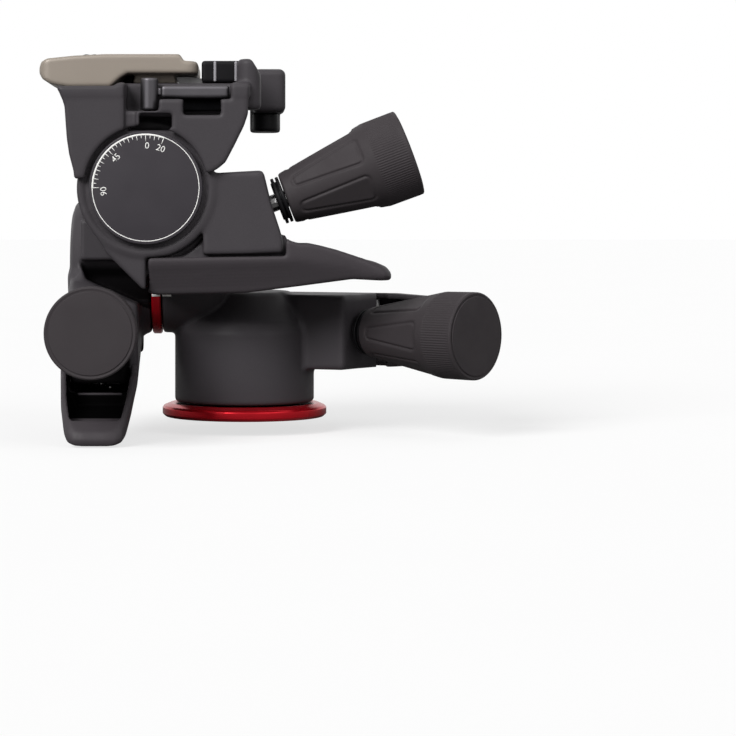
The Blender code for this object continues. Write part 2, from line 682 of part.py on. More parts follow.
def drive_unit(label, origin, along, across):
    """One knob, worm, carrier and wing lever; returns the unit's frame.

    Local X runs along the shaft to the knob, Y away from the wheel's axis and Z along that axis.
    """
    along = Vector(along)
    across = Vector(across)
    turn = Matrix((along, across, along.cross(across))).transposed()
    frame = frame_empty(label + "_unit_frame", origin, turn)

    shaft = turned(
        label + "_worm_shaft",
        (
            (-CARRIER_REAR + TOUCH_GAP, JOURNAL_RADIUS),
            (-WORM_HALF_LENGTH, JOURNAL_RADIUS),
            (-WORM_HALF_LENGTH, WORM_CORE_RADIUS),
            (WORM_HALF_LENGTH, WORM_CORE_RADIUS),
            (WORM_HALF_LENGTH, SHAFT_RADIUS),
            (SHAFT_END, SHAFT_RADIUS),
        ),
        (0, 0, 0),
        (1, 0, 0),
        frame,
        STEEL,
        sides=SHAFT_SIDES,
    )
    join(shaft, thread_helper(label + "_thread", frame))

    knob = turned(
        label + "_knob",
        (
            (KNOB_START, KNOB_SMALL_RADIUS - KNOB_EDGE),
            (KNOB_START + KNOB_EDGE, KNOB_SMALL_RADIUS),
            (KNOB_TAPER_END, KNOB_RADIUS),
            (KNOB_END - KNOB_EDGE, KNOB_RADIUS),
            (KNOB_END, KNOB_RADIUS - KNOB_EDGE),
        ),
        (0, 0, 0),
        (1, 0, 0),
        frame,
        RUBBER,
        inner=(
            (KNOB_START, SHAFT_RADIUS + TOUCH_GAP),
            (KNOB_END - CAP_RECESS - TOUCH_GAP, SHAFT_RADIUS + TOUCH_GAP),
            (KNOB_END - CAP_RECESS - TOUCH_GAP, CAP_RADIUS + TOUCH_GAP),
            (KNOB_END, CAP_RADIUS + TOUCH_GAP),
        ),
        sides=KNOB_SIDES,
    )
    cut(knob, groove_helper(label + "_grooves", frame))
    rod(
        label + "_knob_cap",
        CAP_RADIUS,
        (KNOB_END - CAP_RECESS, 0, 0),
        (KNOB_END - CAP_RECESS + CAP_THICKNESS, 0, 0),
        frame,
        PLASTIC,
        sides=KNOB_SIDES,
    )

    ring = COLLAR_RING_WIDTH
    collar_end = KNOB_START - TOUCH_GAP
    turned(
        label + "_collar",
        (
            (COLLAR_START, COLLAR_RADIUS),
            (COLLAR_START + ring, COLLAR_RADIUS),
            (COLLAR_START + ring, COLLAR_GROOVE_RADIUS),
            (collar_end - ring, COLLAR_GROOVE_RADIUS),
            (collar_end - ring, COLLAR_RADIUS),
            (collar_end, COLLAR_RADIUS),
        ),
        (0, 0, 0),
        (1, 0, 0),
        frame,
        PLASTIC,
        inner=SHAFT_RADIUS + TOUCH_GAP,
        sides=SMALL_SIDES,
    )

    carrier = block(
        label + "_worm_carrier",
        (-CARRIER_REAR, -CARRIER_TOP, -CARRIER_HALF_WIDTH),
        (CARRIER_FRONT, CARRIER_BOTTOM, CARRIER_HALF_WIDTH),
        frame,
        BRONZE,
    )
    stem_top = (STEM_POSITION, CARRIER_BOTTOM - POCKET_BRIDGE / 2, 0)
    stem_end = CARRIER_BOTTOM + STEM_LENGTH
    stem = rod(
        label + "_stem", STEM_RADIUS, stem_top, (STEM_POSITION, stem_end, 0), frame, sides=PIN_SIDES
    )
    head = rod(
        label + "_stem_head",
        STEM_HEAD_RADIUS,
        (STEM_POSITION, stem_end - STEM_HEAD_HEIGHT, 0),
        (STEM_POSITION, stem_end, 0),
        frame,
        sides=PIN_SIDES,
    )
    pocket = block(
        label + "_worm_pocket",
        (-POCKET_HALF_LENGTH, -CARRIER_TOP - OVERRUN, -CARRIER_HALF_WIDTH - OVERRUN),
        (POCKET_HALF_LENGTH, CARRIER_BOTTOM - POCKET_BRIDGE, CARRIER_HALF_WIDTH + OVERRUN),
        frame,
    )
    front_bore = rod(
        label + "_front_bore",
        SHAFT_RADIUS + RUN_GAP,
        (0, 0, 0),
        (CARRIER_FRONT + OVERRUN, 0, 0),
        frame,
    )
    rear_bore = rod(
        label + "_rear_bore",
        JOURNAL_RADIUS + RUN_GAP,
        (-CARRIER_REAR - OVERRUN, 0, 0),
        (0, 0, 0),
        frame,
    )
    cut(carrier, pocket, front_bore, rear_bore)
    join(carrier, stem, head)

    add_wing_lever(label, frame)
    return frame


def groove_helper(name, frame):
    """The grooves that part the panels on the knob's taper, as one cutter."""
    shape = bmesh.new()
    length = (KNOB_TAPER_END - KNOB_START - 2 * GROOVE_MARGIN) / math.cos(KNOB_SLOPE)
    middle = (KNOB_START + KNOB_TAPER_END) / 2
    radius = (KNOB_SMALL_RADIUS + KNOB_RADIUS) / 2
    for index in range(KNOB_GROOVES):
        spin = Matrix.Rotation(2 * math.pi * index / KNOB_GROOVES, 4, "X")
        place = Matrix.Translation((middle, 0, radius))
        lean = Matrix.Rotation(-KNOB_SLOPE, 4, "Y")
        size = Matrix.Diagonal((length, GROOVE_WIDTH, 2 * GROOVE_DEPTH, 1))
        bmesh.ops.create_cube(shape, size=1.0, matrix=spin @ place @ lean @ size)
    return add_object(name, mesh_of(name, shape), frame)


def add_wing_lever(label, frame):
    """The wing lever, its pivot pin and the sprung coil round that pin."""
    wing = prism(
        label + "_lever",
        [
            (along - PIVOT_U, across - PIVOT_V)
            for along, across in scaled(WING_OUTLINE_SHARES, WING_REACH, WING_DROP)
        ],
        -UNIT_HALF_WIDTH,
        UNIT_HALF_WIDTH,
        frame,
        WING,
    )
    wing.location = (PIVOT_U, PIVOT_V, 0)
    half_plan = scaled(WING_PLAN_SHARES, WING_REACH, UNIT_HALF_WIDTH)
    mirrored = [(along, -across) for along, across in reversed(half_plan)]
    plan_turn = Matrix.Rotation(math.pi / 2, 3, "X")
    plan_frame = frame_empty(label + "_plan_frame", (0, 0, 0), plan_turn)
    plan_frame.parent = frame
    plan = prism(label + "_plan", half_plan + mirrored, -WING_DROP - OVERRUN, OVERRUN, plan_frame)
    combine(wing, plan, "INTERSECT")
    hollow = prism(
        label + "_hollow",
        scaled(HOLLOW_OUTLINE_SHARES, HOLLOW_LENGTH, WING_DROP),
        -WING_INNER_HALF,
        WING_INNER_HALF,
        frame,
    )
    rib = block(
        label + "_rib",
        (STEM_POSITION - RIB_HALF_LENGTH, RIB_TOP, -WING_INNER_HALF - WING_WALL / 2),
        (STEM_POSITION + RIB_HALF_LENGTH, RIB_BOTTOM, WING_INNER_HALF + WING_WALL / 2),
        frame,
    )
    stem_hole = rod(
        label + "_stem_hole",
        STEM_RADIUS + 3 * RUN_GAP,
        (STEM_POSITION, RIB_TOP - RIB_THICKNESS, 0),
        (STEM_POSITION, RIB_BOTTOM + RIB_THICKNESS, 0),
        frame,
        sides=PIN_SIDES,
    )
    blind_end = WING_INNER_HALF + PIN_BLIND_DEPTH
    pin_hole = rod(
        label + "_lever_pin_hole",
        PIVOT_PIN_RADIUS + RUN_GAP,
        (PIVOT_U, PIVOT_V, -blind_end),
        (PIVOT_U, PIVOT_V, UNIT_HALF_WIDTH + OVERRUN),
        frame,
        sides=PIN_SIDES,
    )
    cut(wing, hollow)
    join(wing, rib)
    cut(wing, stem_hole, pin_hole)
    rod(
        label + "_lever_pin",
        PIVOT_PIN_RADIUS,
        (PIVOT_U, PIVOT_V, -blind_end + TOUCH_GAP),
        (PIVOT_U, PIVOT_V, UNIT_HALF_WIDTH - TOUCH_GAP),
        frame,
        STEEL,
        sides=PIN_SIDES,
    )
    coil_radius = PIVOT_PIN_RADIUS + TOUCH_GAP + SPRING_WIRE_RADIUS
    steps = SPRING_TURNS * SPRING_STEPS_PER_TURN
    points = [(-SPRING_LEG, coil_radius, -SPRING_HALF_LENGTH)]
    for step in range(steps + 1):
        angle = math.pi / 2 - 2 * math.pi * step / SPRING_STEPS_PER_TURN
        rise = SPRING_HALF_LENGTH * (2 * step / steps - 1)
        points.append((coil_radius * math.cos(angle), coil_radius * math.sin(angle), rise))
    points.append((SPRING_LEG, coil_radius, SPRING_HALF_LENGTH))
    curve = bpy.data.curves.new(label + "_lever_spring", "CURVE")
    curve.dimensions = "3D"
    curve.bevel_depth = SPRING_WIRE_RADIUS
    curve.bevel_resolution = 0
    curve.use_fill_caps = True
    spline = curve.splines.new("POLY")
    spline.points.add(len(points) - 1)
    for point, place in zip(spline.points, points):
        point.co = (*place, 1)
    spring = add_object(label + "_lever_spring", welded_mesh(curve), frame, STEEL)
    spring.location = (PIVOT_U, PIVOT_V, 0)


def fit_unit_housing(label, housing, frame):
    """Gives a housing its nose, the lever's lugs and the room for the worm, its carrier and the wheel."""
    nose = prism(
        label + "_nose",
        scaled(UNIT_OUTLINE_SHARES, UNIT_REACH, UNIT_DEPTH),
        -UNIT_HALF_WIDTH,
        UNIT_HALF_WIDTH,
        frame,
    )
    cavity_half = CARRIER_HALF_WIDTH + SLIDE_GAP
    lug_half = cavity_half + LUG_THICKNESS
    lug = rod(
        label + "_lug",
        LUG_RADIUS,
        (PIVOT_U, PIVOT_V, -lug_half),
        (PIVOT_U, PIVOT_V, lug_half),
        frame,
        sides=PIN_SIDES,
    )
    lug_web = block(
        label + "_lug_web",
        (PIVOT_U - LUG_RADIUS + LUG_INSET, 0, -lug_half + LUG_INSET),
        (PIVOT_U + LUG_RADIUS - LUG_INSET, PIVOT_V, lug_half - LUG_INSET),
        frame,
    )
    channel = block(
        label + "_carrier_channel",
        (-CARRIER_REAR - SLIDE_GAP, -CARRIER_TOP - SLIDE_GAP, -cavity_half),
        (CARRIER_FRONT + SLIDE_GAP, WING_DROP, cavity_half),
        frame,
    )
    shaft_hole = rod(
        label + "_shaft_hole",
        SHAFT_RADIUS + RUN_GAP + CARRIER_TRAVEL / 2,
        (CARRIER_FRONT - OVERRUN, CARRIER_TRAVEL / 2, 0),
        (UNIT_REACH + OVERRUN, CARRIER_TRAVEL / 2, 0),
        frame,
    )
    pin_hole = rod(
        label + "_housing_pin_hole",
        PIVOT_PIN_RADIUS + TOUCH_GAP,
        (PIVOT_U, PIVOT_V, -UNIT_HALF_WIDTH),
        (PIVOT_U, PIVOT_V, UNIT_HALF_WIDTH),
        frame,
        sides=PIN_SIDES,
    )
    join(housing, nose, lug, lug_web)
    cut(housing, channel, shaft_hole, pin_hole)


def add_base():
    """The base: red ring, plate, threaded insert, spindle, its worm wheel and nut."""
    ring = turned(
        "base_ring",
        (
            (0, BASE_RADIUS - BASE_CHAMFER),
            (BASE_CHAMFER, BASE_RADIUS),
            (BASE_HEIGHT - BASE_CHAMFER, BASE_RADIUS),
            (BASE_HEIGHT, BASE_RADIUS - BASE_CHAMFER),
        ),
        (0, 0, 0),
        (0, 0, 1),
        None,
        RED,
        inner=PLATE_RADIUS + TOUCH_GAP,
    )
    turned(
        "base_plate",
        ((0, PLATE_RADIUS), (PLATE_HEIGHT, PLATE_RADIUS)),
        (0, 0, 0),
        (0, 0, 1),
        None,
        CASTING,
        inner=INSERT_RADIUS + TOUCH_GAP,
    )
    turned(
        "tripod_thread_insert",
        ((TOUCH_GAP, INSERT_RADIUS), (TRIPOD_SCREW_DEPTH, INSERT_RADIUS)),
        (0, 0, 0),
        (0, 0, 1),
        None,
        BRASS,
        inner=TRIPOD_SCREW_RADIUS,
        sides=SMALL_SIDES,
    )
    foot = PLATE_HEIGHT + TOUCH_GAP
    wheel_seat = PAN_UNIT_HEIGHT - WHEEL_HALF - TOUCH_GAP
    wheel_top = PAN_UNIT_HEIGHT + WHEEL_HALF + TOUCH_GAP
    socket_end = TRIPOD_SCREW_DEPTH + TOUCH_GAP
    spindle_top = wheel_top + NUT_HEIGHT + TOUCH_GAP
    turned(
        "pan_spindle",
        (
            (foot, SPINDLE_FLANGE_RADIUS),
            (foot + SPINDLE_FLANGE_HEIGHT, SPINDLE_FLANGE_RADIUS),
            (foot + SPINDLE_FLANGE_HEIGHT, SPINDLE_RADIUS),
            (wheel_seat, SPINDLE_RADIUS),
            (wheel_seat, WHEEL_SEAT_RADIUS),
            (spindle_top, WHEEL_SEAT_RADIUS),
            (spindle_top, 0),
        ),
        (0, 0, 0),
        (0, 0, 1),
        None,
        STEEL,
        inner=((foot, INSERT_RADIUS + TOUCH_GAP), (socket_end, INSERT_RADIUS + TOUCH_GAP), (socket_end, 0)),
        sides=SMALL_SIDES,
    )
    spindle_nut("pan_spindle_nut", (0, 0, wheel_top), (0, 0, 1))
    return ring


def spindle_nut(name, start, direction):
    """A hexagon nut on a wheel seat's threaded end."""
    direction = Vector(direction)
    start = Vector(start)
    end = start + direction * NUT_HEIGHT
    nut = rod(name, NUT_RADIUS, start, end, None, STEEL, sides=NUT_SIDES)
    bore = rod(
        name + "_bore",
        WHEEL_SEAT_RADIUS + TOUCH_GAP,
        start - direction * OVERRUN,
        end + direction * OVERRUN,
        None,
    )
    cut(nut, bore)
    return nut


def add_pan_housing(frame):
    """The housing that pans on the base and carries the side barrel."""
    bottom = BASE_HEIGHT + PAN_CLEARANCE
    housing = turned(
        "pan_housing",
        (
            (bottom, PAN_RADIUS),
            (SHOULDER_START, PAN_RADIUS),
            (SHOULDER_MIDDLE, SHOULDER_MIDDLE_RADIUS),
            (SHOULDER_TOP - SHOULDER_EDGE, SHOULDER_TOP_RADIUS),
            (SHOULDER_TOP, SHOULDER_TOP_RADIUS - SHOULDER_EDGE),
        ),
        (0, 0, 0),
        (0, 0, 1),
        None,
        CASTING,
    )
    spigot_radius = ROLL_RING_BORE - TOUCH_GAP
    barrel = turned(
        "barrel",
        (
            (BARREL_LEFT - ROLL_RING_WIDTH, spigot_radius),
            (BARREL_LEFT, spigot_radius),
            (BARREL_LEFT, BARREL_RADIUS),
            (BARREL_RIGHT - BARREL_DOME, BARREL_RADIUS),
            (BARREL_RIGHT - BARREL_DOME / 3, BARREL_RADIUS - BARREL_DOME / 3),
            (BARREL_RIGHT, BARREL_RADIUS - BARREL_DOME),
        ),
        (0, 0, ROLL_AXIS_HEIGHT),
        (1, 0, 0),
        None,
    )
    join(housing, barrel)
    fit_unit_housing("pan", housing, frame)
    bore_top = PAN_UNIT_HEIGHT + CAVITY_HALF
    bore = rod(
        "pan_bore",
        WHEEL_CAVITY_RADIUS,
        (0, 0, bottom - OVERRUN),
        (0, 0, bore_top),
        None,
        sides=ROUND_SIDES,
    )
    nut_pocket = rod(
        "pan_nut_pocket",
        NUT_RADIUS + RUN_GAP,
        (0, 0, PAN_UNIT_HEIGHT),
        (0, 0, PAN_UNIT_HEIGHT + WHEEL_HALF + NUT_HEIGHT + OVERRUN / 2),
        None,
    )
    spindle_bore = rod(
        "roll_spindle_bore",
        SPINDLE_RADIUS + TOUCH_GAP,
        (BARREL_LEFT - ROLL_RING_WIDTH - OVERRUN, 0, ROLL_AXIS_HEIGHT),
        (BARREL_RIGHT - BARREL_DOME, 0, ROLL_AXIS_HEIGHT),
        None,
    )
    cut(housing, bore, nut_pocket, spindle_bore)

    turned(
        "pan_bush",
        (
            (bottom + SPINDLE_FLANGE_HEIGHT + TOUCH_GAP, WHEEL_CAVITY_RADIUS - TOUCH_GAP),
            (PAN_UNIT_HEIGHT - CAVITY_HALF, WHEEL_CAVITY_RADIUS - TOUCH_GAP),
        ),
        (0, 0, 0),
        (0, 0, 1),
        None,
        BRONZE,
        inner=SPINDLE_RADIUS + RUN_GAP,
    )
    ring_left = BARREL_LEFT - ROLL_RING_WIDTH
    turned(
        "roll_ring",
        (
            (ring_left, ROLL_RING_RADIUS - ROLL_RING_CHAMFER),
            (ring_left + ROLL_RING_CHAMFER, ROLL_RING_RADIUS),
            (BARREL_LEFT - TOUCH_GAP - ROLL_RING_CHAMFER, ROLL_RING_RADIUS),
            (BARREL_LEFT - TOUCH_GAP, ROLL_RING_RADIUS - ROLL_RING_CHAMFER),
        ),
        (0, 0, ROLL_AXIS_HEIGHT),
        (1, 0, 0),
        None,
        RED,
        inner=ROLL_RING_BORE,
    )
    wheel_right = ROLL_UNIT_X + WHEEL_HALF + TOUCH_GAP
    wheel_left = ROLL_UNIT_X - WHEEL_HALF - TOUCH_GAP
    turned(
        "roll_spindle",
        (
            (wheel_left - NUT_HEIGHT - TOUCH_GAP, WHEEL_SEAT_RADIUS),
            (wheel_right, WHEEL_SEAT_RADIUS),
            (wheel_right, SPINDLE_RADIUS),
            (BARREL_RIGHT - BARREL_DOME - TOUCH_GAP, SPINDLE_RADIUS),
        ),
        (0, 0, ROLL_AXIS_HEIGHT),
        (1, 0, 0),
        None,
        STEEL,
        sides=SMALL_SIDES,
    )
    spindle_nut("roll_spindle_nut", (wheel_left, 0, ROLL_AXIS_HEIGHT), (-1, 0, 0))


def add_roll_housing(frame):
    """The housing that tilts to the side on the barrel's spindle."""
    right = BARREL_LEFT - ROLL_RING_WIDTH - PAN_CLEARANCE
    housing = turned(
        "roll_housing",
        (
            (ROLL_LEFT, BARREL_RADIUS - ROLL_END_ROUND),
            (ROLL_LEFT + ROLL_END_ROUND / 3, BARREL_RADIUS - ROLL_END_ROUND / 3),
            (ROLL_LEFT + ROLL_END_ROUND, BARREL_RADIUS),
            (right, BARREL_RADIUS),
        ),
        (0, 0, ROLL_AXIS_HEIGHT),
        (1, 0, 0),
        None,
        CASTING,
    )
    pad = block(
        "roll_pad",
        (PAD_LEFT, PAD_FRONT, PAD_BOTTOM),
        (right - PAD_INSET, PAD_FRONT + PAD_DEPTH, PAD_TOP),
        None,
    )
    join(housing, pad)
    fit_unit_housing("roll", housing, frame)
    bore = rod(
        "roll_bore",
        WHEEL_CAVITY_RADIUS,
        (right + OVERRUN, 0, ROLL_AXIS_HEIGHT),
        (ROLL_UNIT_X - CAVITY_HALF, 0, ROLL_AXIS_HEIGHT),
        None,
        sides=ROUND_SIDES,
    )
    nut_pocket = rod(
        "roll_nut_pocket",
        NUT_RADIUS + RUN_GAP,
        (ROLL_UNIT_X, 0, ROLL_AXIS_HEIGHT),
        (ROLL_UNIT_X - WHEEL_HALF - NUT_HEIGHT - OVERRUN / 2, 0, ROLL_AXIS_HEIGHT),
        None,
    )
    cut(housing, bore, nut_pocket)
    turned(
        "roll_bush",
        (
            (ROLL_UNIT_X + CAVITY_HALF, WHEEL_CAVITY_RADIUS - TOUCH_GAP),
            (right, WHEEL_CAVITY_RADIUS - TOUCH_GAP),
        ),
        (0, 0, ROLL_AXIS_HEIGHT),
        (1, 0, 0),
        None,
        BRONZE,
        inner=SPINDLE_RADIUS + RUN_GAP,
    )
    return housing


def add_tilt_housing(frame, roll_housing):
    """The front unit's housing, its dial, bush and the two screws that hold it to the side housing."""
    axis = Vector((TILT_AXIS_X, 0, TILT_AXIS_HEIGHT))
    front = axis + Vector((0, TILT_UNIT_FRONT, 0))
    back = axis + Vector((0, TILT_UNIT_BACK, 0))
    housing = rod(
        "tilt_housing", BOSS_RADIUS, front, back, None, CASTING, sides=ROUND_SIDES
    )
    fit_unit_housing("tilt", housing, frame)
    cavity_back = axis + Vector((0, TILT_UNIT_Y + CAVITY_HALF, 0))
    overrun = Vector((0, OVERRUN, 0))
    bore = rod(
        "tilt_bore", WHEEL_CAVITY_RADIUS, front - overrun, cavity_back, None, sides=ROUND_SIDES
    )
    bush_radius = WHEEL_SEAT_RADIUS + RUN_GAP + UNIT_WALL
    bush_bore = rod(
        "tilt_bush_bore", bush_radius + TOUCH_GAP, cavity_back - overrun, back + overrun, None
    )
    relief = block(
        "roll_nose_relief",
        (ROLL_UNIT_X, TILT_UNIT_BACK - RELIEF_DEPTH, PAD_BOTTOM - RELIEF_HEIGHT),
        (ROLL_UNIT_X + UNIT_HALF_WIDTH + TOUCH_GAP, PAD_FRONT, PAD_BOTTOM + RELIEF_HEIGHT),
        None,
    )
    cut(housing, bore, bush_bore, relief)
    turned(
        "tilt_bush",
        (
            (TILT_UNIT_Y + CAVITY_HALF, bush_radius),
            (TILT_UNIT_BACK, bush_radius),
        ),
        axis,
        (0, 1, 0),
        None,
        BRONZE,
        inner=WHEEL_SEAT_RADIUS + RUN_GAP,
        sides=SMALL_SIDES,
    )
    for name, angle in zip(("left_housing_screw", "right_housing_screw"), HOUSING_SCREW_ANGLES):
        spot = axis + HOUSING_SCREW_CIRCLE * Vector((math.cos(angle), 0, math.sin(angle)))
        head_front = spot + Vector((0, TILT_UNIT_Y + CAVITY_HALF + HOUSING_SCREW_SINK, 0))
        head_back = head_front + Vector((0, HOUSING_SCREW_HEAD_HEIGHT, 0))
        tip = spot + Vector((0, TILT_UNIT_BACK, 0)) + Vector((0, HOUSING_SCREW_REACH / 2, 0))
        turned(
            name,
            (
                (head_front.y, HOUSING_SCREW_HEAD_RADIUS),
                (head_back.y, HOUSING_SCREW_HEAD_RADIUS),
                (head_back.y, HOUSING_SCREW_RADIUS),
                (tip.y, HOUSING_SCREW_RADIUS),
            ),
            spot,
            (0, 1, 0),
            None,
            STEEL,
            sides=PIN_SIDES,
        )
        gap = Vector((0, TOUCH_GAP, 0))
        sink = rod(
            name + "_sink",
            HOUSING_SCREW_HEAD_RADIUS + TOUCH_GAP,
            head_front - overrun,
            head_back + gap,
            None,
            sides=PIN_SIDES,
        )
        hole = rod(
            name + "_hole",
            HOUSING_SCREW_RADIUS + TOUCH_GAP,
            head_front,
            tip + gap,
            None,
            sides=PIN_SIDES,
        )
        cut(housing, sink, hole)
        cut(roll_housing, hole)

    dial_back = TILT_UNIT_FRONT - TOUCH_GAP
    turned(
        "tilt_dial",
        (
            (dial_back - DIAL_THICKNESS, DIAL_RADIUS - BASE_CHAMFER / 4),
            (dial_back - DIAL_THICKNESS + BASE_CHAMFER / 4, DIAL_RADIUS),
            (dial_back, DIAL_RADIUS),
            (dial_back, DIAL_SPIGOT_RADIUS),
            (dial_back + DIAL_SPIGOT_DEPTH, DIAL_SPIGOT_RADIUS),
        ),
        axis,
        (0, 1, 0),
        None,
        DIAL,
    )


def front_frame():
    """A frame whose local XY plane is the world's XZ plane and whose local Z points to the near side."""
    return frame_empty("front_frame", (0, 0, 0), Matrix.Rotation(math.pi / 2, 3, "X"))


def wall_outline():
    """The near wall's outline: its left edge, the arc that clears the dial, and its right edge."""
    left = DECK_LEFT + WALL_PROUD
    width = DECK_RIGHT - WALL_PROUD - left
    top = DECK_TOP - WALL_PROUD
    points = [
        (left + share * width / 2, top - drop * WALL_DROP) for share, drop in WALL_LEFT_SHARES
    ]
    start = math.pi - math.asin((points[-1][1] - TILT_AXIS_HEIGHT) / WALL_GAP_RADIUS)
    right = [(left + share * width, top - drop * WALL_DROP) for share, drop in WALL_RIGHT_SHARES]
    end = math.asin((right[0][1] - TILT_AXIS_HEIGHT) / WALL_GAP_RADIUS)
    for step in range(WALL_ARC_STEPS + 1):
        angle = start + (end - start) * step / WALL_ARC_STEPS
        points.append(
            (
                TILT_AXIS_X + WALL_GAP_RADIUS * math.cos(angle),
                TILT_AXIS_HEIGHT + WALL_GAP_RADIUS * math.sin(angle),
            )
        )
    return points + right


def add_platform():
    """The platform that tilts forwards, with its axle, wheel seat, wall and dovetail jaw seats."""
    frame = front_frame()
    platform = block(
        "tilt_platform",
        (DECK_LEFT, DECK_NEAR + WALL_PROUD, DECK_BOTTOM),
        (DECK_RIGHT, DECK_FAR, DECK_TOP),
        None,
        CASTING,
    )
    wall = prism("near_wall", wall_outline(), -DECK_NEAR - WALL_THICKNESS, -DECK_NEAR, frame)
    axle_back = ARM_BACK
    hub = rod(
        "arm_hub",
        ARM_HALF_WIDTH,
        (TILT_AXIS_X, ARM_FRONT, TILT_AXIS_HEIGHT),
        (TILT_AXIS_X, axle_back, TILT_AXIS_HEIGHT),
        None,
    )
    arm = block(
        "arm_web",
        (TILT_AXIS_X - ARM_HALF_WIDTH + ARM_INSET, ARM_FRONT + ARM_INSET, TILT_AXIS_HEIGHT),
        (TILT_AXIS_X + ARM_HALF_WIDTH - ARM_INSET, axle_back - ARM_INSET, DECK_BOTTOM + ARM_INSET),
        None,
    )
    fixed_jaw = prism(
        "fixed_jaw",
        (
            (RAIL_LEFT - JAW_GAP - JAW_WIDTH, DECK_TOP - TOUCH_GAP),
            (RAIL_LEFT - JAW_GAP, DECK_TOP - TOUCH_GAP),
            (RAIL_LEFT - JAW_GAP + RAIL_UNDERCUT, DECK_TOP + JAW_HEIGHT),
            (RAIL_LEFT - JAW_GAP - JAW_WIDTH + RAIL_UNDERCUT, DECK_TOP + JAW_HEIGHT),
        ),
        -JAW_FAR,
        -JAW_NEAR,
        frame,
    )
    bracket = prism(
        "lever_bracket",
        tongue_outline(DECK_RIGHT - OVERRUN, BRACKET_HALF_WIDTH),
        DECK_BOTTOM + BRACKET_INSET,
        DECK_TOP - BRACKET_INSET,
        None,
    )
    post_x = DECK_RIGHT - CORNER_POST_INSET
    post_y = DECK_NEAR + CORNER_POST_SETBACK
    corner_post = rod(
        "corner_post",
        CORNER_POST_RADIUS,
        (post_x, post_y, DECK_BOTTOM - CORNER_POST_FALL),
        (post_x, post_y, DECK_TOP + CORNER_POST_RISE),
        None,
    )
    tray = block(
        "catch_tray",
        (
            BAR_POCKET_LEFT - BAR_POCKET_WALL,
            DECK_NEAR + WALL_THICKNESS / 2,
            BAR_POCKET_BOTTOM - BAR_POCKET_WALL,
        ),
        (
            BAR_POCKET_RIGHT + BAR_POCKET_WALL,
            DECK_NEAR + BAR_POCKET_DEPTH + BAR_POCKET_WALL,
            (DECK_BOTTOM + DECK_TOP) / 2,
        ),
        None,
    )
    join(platform, wall, tray, hub, arm, fixed_jaw, bracket, corner_post)

    bar_pocket = block(
        "bar_pocket",
        (BAR_POCKET_LEFT, DECK_NEAR - OVERRUN, BAR_POCKET_BOTTOM),
        (BAR_POCKET_RIGHT, DECK_NEAR + BAR_POCKET_DEPTH, DECK_TOP + OVERRUN),
        None,
    )
    window = block(
        "wall_window",
        (WINDOW_LEFT, DECK_NEAR - OVERRUN, WINDOW_BOTTOM),
        (WINDOW_RIGHT, DECK_NEAR + WALL_THICKNESS + OVERRUN, WINDOW_TOP),
        None,
    )
    axle_hole = rod(
        "axle_hole",
        WHEEL_SEAT_RADIUS + TOUCH_GAP,
        (TILT_AXIS_X, ARM_FRONT - OVERRUN, TILT_AXIS_HEIGHT),
        (TILT_AXIS_X, axle_back + OVERRUN, TILT_AXIS_HEIGHT),
        None,
    )
    bolt_hole = rod(
        "lever_bolt_hole",
        LEVER_BOLT_RADIUS + RUN_GAP,
        (LEVER_AXIS_X, LEVER_AXIS_Y, DECK_BOTTOM - OVERRUN),
        (LEVER_AXIS_X, LEVER_AXIS_Y, DECK_TOP + OVERRUN),
        None,
    )
    post_seat = rod(
        "post_seat",
        CATCH_PIN_RADIUS + RUN_GAP,
        (CATCH_POST_X, CATCH_POST_Y, BAR_POCKET_BOTTOM - BAR_POCKET_WALL - OVERRUN),
        (CATCH_POST_X, CATCH_POST_Y, BAR_POCKET_BOTTOM + OVERRUN),
        None,
        sides=PIN_SIDES,
    )
    cut(platform, bar_pocket, window, axle_hole, bolt_hole, post_seat)

    axle_front = TILT_UNIT_Y - WHEEL_HALF - TOUCH_GAP - AXLE_NUT_HEIGHT - TOUCH_GAP
    turned(
        "tilt_axle",
        ((axle_front, WHEEL_SEAT_RADIUS), (axle_back, WHEEL_SEAT_RADIUS)),
        (TILT_AXIS_X, 0, TILT_AXIS_HEIGHT),
        (0, 1, 0),
        None,
        STEEL,
        sides=SMALL_SIDES,
    )
    spindle_nut(
        "tilt_axle_nut",
        (TILT_AXIS_X, TILT_UNIT_Y - WHEEL_HALF - TOUCH_GAP, TILT_AXIS_HEIGHT),
        (0, -1, 0),
    )
    return frame


